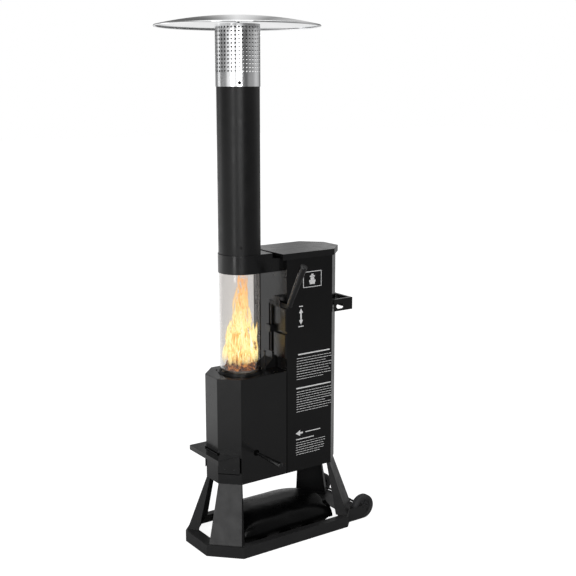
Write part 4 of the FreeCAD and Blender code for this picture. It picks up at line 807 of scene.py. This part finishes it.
def flame_skin(name, material, width, tall, phase):
    """A wavering skin of flame, spun from the flame's outline and then torn by noise."""
    steps = 48
    sway = 0.02
    tear = 0.45
    height = tall * (FLAME_HIGH - FLAME_LOW)
    top = FLAME_LOW + height
    shares = [step / steps for step in range(steps + 1)]
    outline = [(width * flame_width(share), FLAME_LOW + share * height) for share in shares]
    bm = bmesh.new()
    spin_profile(bm, [(0, FLAME_LOW), *outline, (0, top)], COLUMN, steps=64)
    for vert in bm.verts:
        z = vert.co.z
        share = (z - FLAME_LOW) / (top - FLAME_LOW)
        aside = Vector((vert.co.x - COLUMN.x, vert.co.y, 0))
        reach = aside.length
        if reach > 0:
            aside.normalize()
        lick = noise.noise(Vector((aside.x * 2.2 + phase, aside.y * 2.2, z * 17)))
        drift = Vector([noise.noise(Vector((phase, row, z * 9))) for row in (5.1, 9.7)]).to_3d()
        middle = Vector((COLUMN.x, 0, z)) + FLAME_LEAN * share ** 2 + drift * sway * share
        vert.co = middle + aside * reach * (1 + tear * lick)
    flame_piece(name, bm, material)


def flames():
    """Nested skins of flame that narrow to a tip, with licks round their foot."""
    pale = ((0.6, 0.22, 0.025), (0.95, 0.52, 0.1), (1.0, 0.85, 0.36), (1.0, 0.96, 0.7))
    deep = ((0.5, 0.12, 0.01), (0.85, 0.32, 0.04), (1.0, 0.6, 0.14), (1.0, 0.88, 0.42))
    thin = ((0.5, 0.12, 0.01), (0.85, 0.34, 0.05), (1.0, 0.62, 0.16), (1.0, 0.88, 0.42))
    heart = flame_gas("flame_heart", pale, (0.7, 0.98), 62)
    veil = flame_gas("flame_veil", deep, (0.0, 0.92), 72)
    wisps = flame_gas("flame_wisps", thin, (-1.0, 0.8), 64)
    flame_skin("flame_skin_inner", heart, 0.042, 0.74, 3.7)
    flame_skin("flame_skin_middle", veil, 0.055, 0.88, 8.2)
    flame_skin("flame_skin_outer", wisps, 0.068, 0.99, 14.9)
    licks = 11
    for index in range(licks):
        angle = 2 * math.pi * index / licks + draw.uniform(-0.2, 0.2)
        reach = draw.uniform(0.045, 0.064)
        foot = (COLUMN.x + reach * math.cos(angle), reach * math.sin(angle), FLAME_LOW - 0.004)
        height = draw.uniform(0.07, 0.2)
        width = draw.uniform(0.008, 0.014)
        tongue(f"flame_lick_{index}", heart if index % 2 else veil, foot, height, width, draw.uniform(0, 40))


def ember_bed():
    """Heap of glowing pellets in the mouth of the fire pot."""
    pot_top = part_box("fire_pot")[1].z
    pellets = 460
    pellet_radius = 0.0032
    reach = 0.066
    edge_rise = 0.014
    crown_rise = 0.036
    rim = 0.008
    rim_inset = 0.006
    bm = bmesh.new()
    for _ in range(pellets):
        angle = draw.uniform(0, 2 * math.pi)
        outward = Vector((math.cos(angle), math.sin(angle), 0))
        distance = reach * math.sqrt(draw.random())
        rise = (edge_rise + crown_rise * (1 - (distance / reach) ** 2)) * math.sqrt(draw.random())
        place = COLUMN + outward * distance + Vector((0, 0, pot_top + rise))
        turn = Matrix.Rotation(draw.uniform(0, 2 * math.pi), 4, "Z")
        lean = Matrix.Rotation(draw.uniform(1.1, 1.9), 4, "X")
        if distance > reach - rim:
            place -= outward * rim_inset
        peg(bm, Matrix.Translation(place) @ turn @ lean, 8, pellet_radius, draw.uniform(0.008, 0.016))
    core_height = 0.036
    core = Matrix.Translation((COLUMN.x, 0, pot_top + 0.007))
    bmesh.ops.create_cone(bm, cap_ends=True, segments=48, radius1=0.062, radius2=0.028, depth=core_height,
                          matrix=core)
    finish_piece("ember_pellets", bm, glowing_pellet())


# Stand and casing

SHEET_NODES = (
    "base_ring", "leg_front_near", "leg_front_far", "leg_back_near", "leg_back_far", "body_floor",
    "firebox_shell", "firebox_top_plate", "hopper_shell", "face_pans", "hopper_lid", "hinge_wall_leaves",
    "hinge_lid_leaves", "rod_guide", "gate_covers", "pivot_bracket", "front_handle", "rear_handle",
    "drawer_panel", "drawer_pull", "axle_brackets", "feed_chute", "lever_arm", "glass_seat_ring",
    "pull_rod_bush", "bag_straps", "collar_housing", "collar_cover", "fire_pot",
)
BENDS = {
    "firebox_shell": SHELL_BEND, "hopper_shell": SHELL_BEND, "collar_housing": THIN_BEND,
    "collar_cover": THIN_BEND, "fire_pot": THIN_BEND,
}


def tall_bolt(bm, low, high):
    """Round shank with a hexagonal head."""
    size = high - low
    middle = (low + high) / 2
    head = 0.004
    peg(bm, Matrix.Translation(middle), 24, 0.003, size.z)
    peg(bm, Matrix.Translation((middle.x, middle.y, high.z - head / 2)), 6, size.x / 2, head)


def body_screws():
    """Heads of the screws, rivets and bolts on the casing and the stand."""
    tallest_head = 0.05
    flat_head = 0.0045
    side_head = 0.0025
    bm = bmesh.new()
    for low, high in loose_parts("body_screws"):
        size = high - low
        middle = (low + high) / 2
        if size.z > tallest_head:
            tall_bolt(bm, low, high)
        elif size.z < flat_head:
            screw_head(bm, Vector((middle.x, middle.y, low.z)), (0, 0, 1), height=size.z)
        elif size.x < side_head:
            screw_head(bm, Vector((high.x, middle.y, middle.z)), (-1, 0, 0), height=size.x)
        else:
            outward = Vector((math.copysign(1, middle.x), math.copysign(1, middle.y), 0)).normalized()
            screw_head(bm, middle - outward * 0.001, outward, recess=False)
    finish_piece("casing_screws", bm, DARK_STEEL, replaces=("body_screws",), recalc=False)


def joint_beads_and_shelf_shade():
    """Bead of stove putty in the upright joint of the two casings, dark enough to paint the shade of the
    seam's groove as well, and a strip of painted shade at the foot of the firebox's front, where the gap
    above the shelf lies in shade.
    """
    shell_low, shell_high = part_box("firebox_shell")
    joint_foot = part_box("hopper_shell")[0].z
    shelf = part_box("front_handle")[1].z
    half = 0.0017
    sunk = 0.0004
    proud = 0.0005
    end_gap = 0.002
    front_half = 0.056
    bm = bmesh.new()
    # The upright beads: dark putty in the joint, which also paints the shade of the seam's groove.
    for side in (-1, 1):
        face = shell_high.y * side
        inner, outer = sorted((face - side * sunk, face + side * proud))
        block(bm, (-half, inner, joint_foot + end_gap), (half, outer, shell_high.z - end_gap))
    # Painted shade: a dark strip on the firebox's front just above the shelf, in the gap between them.
    block(bm, (shell_low.x - 2 * proud, -front_half, shelf - 0.001),
          (shell_low.x + sunk, front_half, shelf + 0.0055))
    finish_piece("joint_beads_and_shelf_shade", bm, PUTTY_AND_PAINTED_SHADE)


def flange_shadow_strip():
    """Painted shadow: a dark strip along the lower edge of the shelf handle's flange, where the flange's
    shadow falls on the casing.
    """
    strip_height = 0.003
    seam = 0.0001
    bm = node_bmesh("front_handle")
    foot = min(vert.co.z for vert in bm.verts)
    others = [face for face in bm.faces
              if face.normal.z > -0.9 or any(vert.co.z > foot + 0.0005 for vert in face.verts)]
    bmesh.ops.delete(bm, geom=others, context="FACES")
    bmesh.ops.translate(bm, verts=bm.verts, vec=(0, 0, -seam))
    lower = verts_in(bmesh.ops.extrude_face_region(bm, geom=bm.faces[:])["geom"])
    bmesh.ops.translate(bm, verts=lower, vec=(0, 0, -strip_height))
    finish_piece("flange_shadow_strip", bm, PUTTY_AND_PAINTED_SHADE, body_of("front_handle"))


def lever_grip():
    """The lever's tapered grip with smooth shading."""
    finish_piece("feed_grip", node_bmesh("lever_grip"), GRIP_PLASTIC, body_of("lever_grip"),
                 ("lever_grip",), recalc=False)


def pull_grip():
    """Turned grip of the riddling pull, slim at its foot and thick at its end."""
    low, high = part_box("ash_pull_grip")
    radius = (high.x - low.x) / 2
    length = high.y - low.y
    middle = Vector(((low.x + high.x) / 2, high.y, (low.z + high.z) / 2))
    foot = 0.0058
    profile = [(0, 0), (foot - 0.0008, 0), (foot, 0.001)]
    for share in (0.2, 0.4, 0.6, 0.8):
        profile.append((foot + (radius - foot) * share * 0.98, length * share))
    profile += [(radius - 0.0002, length - 0.0055), (radius - 0.0008, length - 0.002),
                (radius - 0.0028, length - 0.0003), (0, length)]
    turned_piece("riddle_grip", profile, middle, GRIP_PLASTIC, ("ash_pull_grip",),
                 body_of("ash_pull_grip"), axis=(0, -1, 0), steps=48)


# Wheels

def wheel_sizes(side):
    """Middle of a wheel, the radii of its tyre and its hub, and half its width."""
    tyre_low, tyre_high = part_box(f"wheel_tyre_{side}")
    hub_low, hub_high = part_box(f"wheel_hub_{side}")
    centre = (tyre_low + tyre_high) / 2
    tyre = (tyre_high.z - tyre_low.z) / 2
    hub = (hub_high.z - hub_low.z) / 2
    return centre, tyre, hub, (tyre_high.y - tyre_low.y) / 2


def ribbed_tyre(side):
    """Tyre with three grooves round its tread."""
    centre, tyre, hub, half = wheel_sizes(side)
    floor = tyre - 0.0015
    shoulder = [(hub, half - 0.002), (hub + 0.002, half), (tyre - 0.006, half), (tyre - 0.002, half - 0.0015),
                (tyre, half - 0.005)]
    profile = [(radius, -height) for radius, height in shoulder]
    for middle in (-0.006, 0.0, 0.006):
        profile += [(tyre, middle - 0.0016), (floor, middle - 0.0009), (floor, middle + 0.0009),
                    (tyre, middle + 0.0016)]
    profile += reversed(shoulder)
    turned_piece(f"ribbed_tyre_{side}", profile, centre, TYRE_RUBBER, (f"wheel_tyre_{side}",),
                 body_of(f"wheel_tyre_{side}"), axis=(0, 1, 0), steps=96)


def ribbed_hub(side):
    """Moulded hub: a boss and a rim joined by a web, with six ribs on each face."""
    centre, _, hub, half = wheel_sizes(side)
    bore = 0.00505
    boss = 0.011
    rim = hub - 0.005
    web = 0.003
    rim_face = half - 0.001
    rib_face = half - 0.004
    rib = 0.0018
    ribs = 6
    profile = [(bore, -half), (boss, -half), (boss, -web), (rim, -web), (rim, -rim_face), (hub, -rim_face),
               (hub, rim_face), (rim, rim_face), (rim, web), (boss, web), (boss, half), (bore, half)]
    bm = bmesh.new()
    spin_profile(bm, profile, centre, (0, 1, 0), 96)
    bevel_sharp(bm, 0.0005)
    for index in range(ribs):
        turn = Matrix.Translation(centre) @ Matrix.Rotation(index * 2 * math.pi / ribs, 4, "Y")
        for inner, outer in ((-rib_face, -web), (web, rib_face)):
            verts = block(bm, (boss - 0.001, inner, -rib), (rim + 0.001, outer, rib))
            bmesh.ops.transform(bm, matrix=turn, verts=verts)
    finish_piece(f"ribbed_hub_{side}", bm, HUB_PLASTIC, body_of(f"wheel_tyre_{side}"),
                 (f"wheel_hub_{side}",))


# Ballast bag

def sandbag():
    """Sand in black film: the solid form swollen against its own skin, creased, with a seam at each end."""
    low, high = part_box("sandbag")
    middle = (low + high) / 2
    shrink = 0.004
    scale = [(half - shrink) / half for half in (high - low) / 2]
    bm = node_bmesh("sandbag")
    bmesh.ops.triangulate(bm, faces=bm.faces)
    for vert in bm.verts:
        vert.co = Vector([middle[axis] + (vert.co[axis] - middle[axis]) * scale[axis] for axis in range(3)])
    mesh = bpy.data.meshes.new("ballast_bag")
    bm.to_mesh(mesh)
    bm.free()
    bag = add_object("ballast_bag", mesh)
    remesh = bag.modifiers.new("skin", "REMESH")
    remesh.mode = "VOXEL"
    remesh.voxel_size = 0.0062
    apply_modifiers(bag)
    swell(bag)
    soften(bag)
    crease_bag(bag, low, high)
    smooth = bag.modifiers.new("smooth", "SUBSURF")
    smooth.levels = 1
    smooth.render_levels = 1
    bag.data.shade_smooth()
    bag.data.materials.append(BAG_FILM)
    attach(bag, "root")
    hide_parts("sandbag")
    bag_seams(low, high)


def apply_modifiers(piece):
    """Put the evaluated mesh in place of the piece's own."""
    graph = bpy.context.evaluated_depsgraph_get()
    made = bpy.data.meshes.new_from_object(piece.evaluated_get(graph))
    piece.modifiers.clear()
    piece.data = made


def swell(bag):
    """Press the film outwards by simulation, with a cap on how far any point moves."""
    steps = 20
    cap = 0.008
    rest = [vert.co.copy() for vert in bag.data.vertices]
    cloth = bag.modifiers.new("film", "CLOTH")
    cloth.settings.use_pressure = True
    cloth.settings.uniform_pressure_force = 2.0
    cloth.settings.effector_weights.gravity = 0
    cloth.settings.quality = 6
    cloth.settings.bending_stiffness = 6.0
    for step in range(1, steps + 1):
        bpy.context.scene.frame_set(step)
    apply_modifiers(bag)
    bpy.context.scene.frame_set(1)
    for vert, start in zip(bag.data.vertices, rest):
        moved = vert.co - start
        if moved.length > cap:
            vert.co = start + moved.normalized() * cap


def soften(bag):
    """Relax the film so that no hard valley is left between its panels."""
    passes = 6
    bm = bmesh.new()
    bm.from_mesh(bag.data)
    for _ in range(passes):
        bmesh.ops.smooth_vert(bm, verts=bm.verts, factor=0.5, use_axis_x=True, use_axis_y=True,
                              use_axis_z=True)
    bm.to_mesh(bag.data)
    bm.free()


def crease_bag(bag, low, high):
    """Long soft folds that run in from the end seams, and fine crumples; the foot stays flat."""
    length = (high.x - low.x) / 2
    margin = 0.0008
    foot_lift = 0.0002
    fold_depth = 0.0045
    crumple_depth = 0.0005
    for vert in bag.data.vertices:
        place = vert.co
        share = abs(place.x) / length
        fold = noise.noise(Vector((place.x * 9, place.y * 42, place.z * 42))) * fold_depth * share ** 5
        crumple = noise.noise(place * 34) * crumple_depth
        side = Vector((0, place.y, (place.z - (low.z + high.z) / 2) * 1.4))
        if side.length > 0:
            side.normalize()
        place += side * (fold + crumple)
        place.z = max(place.z, low.z + foot_lift)
        place.z = min(place.z, high.z - margin)
        place.y = max(low.y + margin, min(high.y - margin, place.y))
        place.x = max(low.x + margin, min(high.x - margin, place.x))


def bag_seams(low, high):
    """Crimped flat seam that stands out from the arched end of the bag, one at each end."""
    steps = 72
    half = (high.y - low.y) / 2 * 0.84
    foot = low.z + 0.034
    crown = high.z - 0.027
    root_inset = 0.014
    ripple_depth = 0.004
    film = 0.0009
    bm = bmesh.new()
    for side in (-1, 1):
        root = side * ((high.x - low.x) / 2 - root_inset)
        verts = []
        for step in range(steps + 1):
            share = step / steps * 2 - 1
            arch = share * math.pi / 2
            ripple = noise.noise(Vector((share * 9, side * 3.1, 0.4))) * ripple_depth
            height = foot + (crown - foot) * math.cos(arch) + ripple
            verts.append(bm.verts.new((root, half * math.sin(arch), height)))
        edges = [bm.edges.new(pair) for pair in zip(verts, verts[1:])]
        for reach, lift in ((0.009, 0.0), (0.007, 0.0018), (0.005, -0.001)):
            band = bmesh.ops.extrude_edge_only(bm, edges=edges)["geom"]
            verts = verts_in(band)
            edges = [item for item in band if isinstance(item, bmesh.types.BMEdge)
                     and all(vert in verts for vert in item.verts)]
            for vert in verts:
                wave = noise.noise(Vector((vert.co.y * 60, side * 5.0, reach * 400)))
                vert.co += Vector((side * (reach + 0.0012 * wave), 0, lift * wave))
    bmesh.ops.recalc_face_normals(bm, faces=bm.faces)
    bmesh.ops.solidify(bm, geom=bm.faces, thickness=film)
    finish_piece("bag_seams", bm, BAG_FILM, angle=math.radians(60))


# Prints on the hopper's near side, as (x, z) places

PRINT_RISE = 0.0003
PRINT_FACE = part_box("hopper_shell")[0].y
SIGN_LEFT, SIGN_RIGHT, SIGN_LOW, SIGN_HIGH = 0.083, 0.174, 1.075, 1.139
SIGN_LINE = 0.0028

# Bars of the flame sign, about its middle: width, height, rise
FLAME_SIGN = ((0.026, 0.008, -0.017), (0.032, 0.01, -0.008), (0.018, 0.011, 0.002), (0.026, 0.006, 0.012),
              (0.012, 0.008, 0.018))

# Single bars: x, z, width, height
BARS = ((0.071, 0.998, 0.02, 0.004), (0.071, 0.913, 0.026, 0.004), (0.14, 0.793, 0.165, 0.0055),
        (0.138, 0.647, 0.18, 0.0055), (0.135, 0.449, 0.08, 0.004), (0.094, 0.422, 0.094, 0.004))

# Arrows: tip, tail, head's length, half the shaft's width
ARROWS = (((0.071, 0.989), (0.071, 0.955), 0.019, 0.0036), ((0.071, 0.921), (0.071, 0.9555), 0.019, 0.0036),
          ((0.045, 0.449), (0.083, 0.449), 0.023, 0.0042))

# Blocks of dashes: left, right, top, lines, pitch
DASH_BLOCKS = ((0.05, 0.232, 0.776, 9, 0.0112), (0.05, 0.232, 0.631, 9, 0.0108),
               (0.047, 0.2, 0.407, 6, 0.0105))
DASH_HEIGHT = 0.002
DASH_GAP = 0.0028


def side_bar(bm, x, z, width, height):
    """One flat bar of print, by its middle."""
    block(bm, (x - width / 2, PRINT_FACE - PRINT_RISE, z - height / 2),
          (x + width / 2, PRINT_FACE - 0.00002, z + height / 2))


def arrow(bm, tip, tail, head, stroke):
    """A plain arrow from a tail to a tip."""
    depth = PRINT_FACE - PRINT_RISE / 2
    end = Vector((tip[0], depth, tip[1]))
    start = Vector((tail[0], depth, tail[1]))
    along = (end - start).normalized()
    across = Vector((along.z, 0, -along.x))
    neck = end - along * head
    barb = across * head * 0.55
    shaft = across * stroke
    shaft_outline = (start + shaft, start - shaft, neck - shaft, neck + shaft)
    for outline in (shaft_outline, (neck + barb, neck - barb, end)):
        panel = bm.faces.new([bm.verts.new(point) for point in outline])
        raised = verts_in(bmesh.ops.extrude_face_region(bm, geom=[panel])["geom"])
        bmesh.ops.translate(bm, verts=raised, vec=(0, -PRINT_RISE / 2, 0))


def dash_block(bm, left, right, top, lines, pitch):
    """Rows of plain dashes where the instructions stand; every third row ends early."""
    for row in range(lines):
        x = left
        z = top - row * pitch
        end = right - draw.uniform(0, 0.3) * (right - left) * (row % 3 == 2)
        while x < end - 0.006:
            dash = min(draw.uniform(0.006, 0.02), end - x)
            side_bar(bm, x + dash / 2, z, dash, DASH_HEIGHT)
            x += dash + DASH_GAP


def hopper_prints():
    """Frame with a flame sign, arrows, bars and three blocks of plain dashes."""
    bm = bmesh.new()
    middle_x = (SIGN_LEFT + SIGN_RIGHT) / 2
    middle_z = (SIGN_LOW + SIGN_HIGH) / 2
    for z in (SIGN_LOW, SIGN_HIGH):
        side_bar(bm, middle_x, z, SIGN_RIGHT - SIGN_LEFT, SIGN_LINE)
    for x in (SIGN_LEFT, SIGN_RIGHT):
        side_bar(bm, x, middle_z, SIGN_LINE, SIGN_HIGH - SIGN_LOW)
    for width, height, rise in FLAME_SIGN:
        side_bar(bm, middle_x, middle_z + rise, width, height)
    for bar in BARS:
        side_bar(bm, *bar)
    for row in ARROWS:
        arrow(bm, *row)
    for rows in DASH_BLOCKS:
        dash_block(bm, *rows)
    finish_piece("side_prints", bm, PRINT)


# Stage, light and camera

PLAIN_LIGHT = 0.3

# Brightness that bright metal mirrors, by the turn round the studio: 0.5 lies towards the camera
SKY_BANDS = ((0.0, 0.3), (0.007, 0.95), (0.014, 0.2), (0.022, 0.1), (0.034, 0.45), (0.05, 0.28), (0.25, 0.22),
             (0.33, 0.3), (0.36, 1.0), (0.495, 1.0), (0.515, 0.12), (0.64, 0.12), (0.665, 0.33), (0.74, 0.4),
             (0.8, 0.7), (0.87, 0.5), (0.91, 0.2), (0.95, 0.16), (0.966, 0.45), (0.974, 0.1), (0.984, 0.12),
             (0.991, 0.8), (1.0, 0.3))
FLOOR_BANDS = ((0.0, 0.8), (0.19, 1.0), (0.3, 0.8), (0.44, 0.4), (0.55, 0.3), (0.62, 0.08), (0.78, 0.08),
               (0.9, 0.3), (0.95, 0.16), (0.98, 0.7), (1.0, 0.8))


def studio_bands(tree, bands):
    """Dark and light upright bands round the studio, by the turn from the camera's side."""
    source = object_place(tree)
    turn = math.radians(CAMERA_AZIMUTH)
    aside = vector_math(tree, "DOT_PRODUCT", source, (math.cos(turn), math.sin(turn), 0))
    ahead = vector_math(tree, "DOT_PRODUCT", source, (math.sin(turn), -math.cos(turn), 0))
    place = remap(tree, arithmetic(tree, "ARCTAN2", aside, ahead), 0.0, 1.0, -math.pi, math.pi)
    return ramp(tree, place, [(stop, (level, level, level)) for stop, level in bands])


def seen_directly(tree):
    """Two shares: one for rays from the camera and through glass, and one for mirrored rays alone."""
    path = tree.nodes.new("ShaderNodeLightPath").outputs
    seen = arithmetic(tree, "MAXIMUM", path["Is Camera Ray"], path["Is Transmission Ray"])
    mirrored = arithmetic(tree, "SUBTRACT", path["Is Glossy Ray"], path["Is Transmission Ray"], clamp=True)
    return seen, mirrored


def stage():
    """Pale floor that reads white to the camera and keeps the object's shadow."""
    bm = bmesh.new()
    bmesh.ops.create_grid(bm, x_segments=1, y_segments=1, size=30)
    mesh = bpy.data.meshes.new("pale_floor")
    bm.to_mesh(mesh)
    bm.free()
    material, tree, surface = shader("pale_floor")
    surface.inputs["Base Color"].default_value = (0.4, 0.4, 0.4, 1)
    surface.inputs["Roughness"].default_value = 0.9
    surface.inputs["Specular IOR Level"].default_value = 0.0
    surface.inputs["Emission Color"].default_value = (1, 1, 1, 1)
    reach = vector_math(tree, "LENGTH", object_coordinates(tree))
    seen, mirrored = seen_directly(tree)
    shown = arithmetic(tree, "MULTIPLY", seen, remap(tree, reach, 0.93, 0.97, 0.5, 2.6))
    sheen = arithmetic(tree, "MULTIPLY", mirrored, remap(tree, reach, 0.1, 1.0, 0.8, 1.9))
    banded = arithmetic(tree, "MULTIPLY", sheen, studio_bands(tree, FLOOR_BANDS))
    feed(surface, "Emission Strength", arithmetic(tree, "ADD", shown, banded))
    mesh.materials.append(material)
    add_object("pale_floor", mesh)


def world():
    """White to the camera and through glass, banded in bright metal; a plain grey light otherwise."""
    scene = bpy.context.scene
    scene.world = bpy.data.worlds.new("studio")
    scene.world.use_nodes = True
    tree = scene.world.node_tree
    background = tree.nodes["Background"]
    background.inputs["Color"].default_value = (1, 1, 1, 1)
    seen, mirrored = seen_directly(tree)
    direct = remap(tree, seen, PLAIN_LIGHT, 1.0, 0.0, 1.0)
    mix = tree.nodes.new("ShaderNodeMix")
    tree.links.new(mirrored, mix.inputs["Factor"])
    values = [socket for socket in mix.inputs if socket.type == "VALUE" and socket.name in ("A", "B")]
    tree.links.new(direct, values[0])
    tree.links.new(studio_bands(tree, SKY_BANDS), values[1])
    tree.links.new(mix.outputs["Result"], background.inputs["Strength"])


def softbox(name, place, width, height, power):
    """Rectangular lamp that looks at the heater's middle."""
    target = Vector((0, 0, 1.0))
    lamp = bpy.data.lights.new(name, "AREA")
    lamp.shape = "RECTANGLE"
    lamp.size = width
    lamp.size_y = height
    lamp.energy = power
    item = add_object(name, lamp)
    item.location = place
    item.rotation_mode = "QUATERNION"
    item.rotation_quaternion = (target - Vector(place)).to_track_quat("-Z", "Y")


def lights():
    softbox("left_box", (-4.0, -2.3, 1.7), 1.0, 3.0, 33)
    softbox("front_box", (-2.6, 3.4, 1.6), 1.4, 2.4, 8)
    softbox("near_box", (-2.1, -4.55, 2.2), 1.9, 3.0, 72)
    softbox("top_box", (0.2, 0.3, 4.8), 3.0, 3.0, 50)


def camera():
    item = add_object("camera", bpy.data.cameras.new("camera"))
    azimuth = math.radians(CAMERA_AZIMUTH)
    drop = math.radians(CAMERA_DROP)
    level = math.cos(drop)
    back = Vector((math.sin(azimuth) * level, -math.cos(azimuth) * level, math.sin(drop)))
    item.location = CAMERA_PLACE
    item.rotation_mode = "QUATERNION"
    item.rotation_quaternion = (-back).to_track_quat("-Z", "Y")
    item.data.sensor_width = SENSOR
    item.data.lens = CAMERA_LENS
    item.data.clip_start = 0.1
    item.data.clip_end = 100
    bpy.context.scene.camera = item


def dress_carried_nodes():
    """Finish every construction solid that still shows."""
    for name, item in frame["nodes"].items():
        item.data.materials.clear()
        item.data.materials.append(node_material(name))


bpy.context.scene.view_settings.view_transform = "Standard"
camera()
stage()
world()
lights()
dress_carried_nodes()
chimney()
perforated_sleeve()
reflector()
flame_glass()
column_screws()
flames()
ember_bed()
for sheet_node in SHEET_NODES:
    rounded_node(sheet_node, BENDS.get(sheet_node, SHEET_BEND))
body_screws()
joint_beads_and_shelf_shade()
flange_shadow_strip()
lever_grip()
pull_grip()
for wheel_side in ("near", "far"):
    ribbed_tyre(wheel_side)
    ribbed_hub(wheel_side)
sandbag()
hopper_prints()
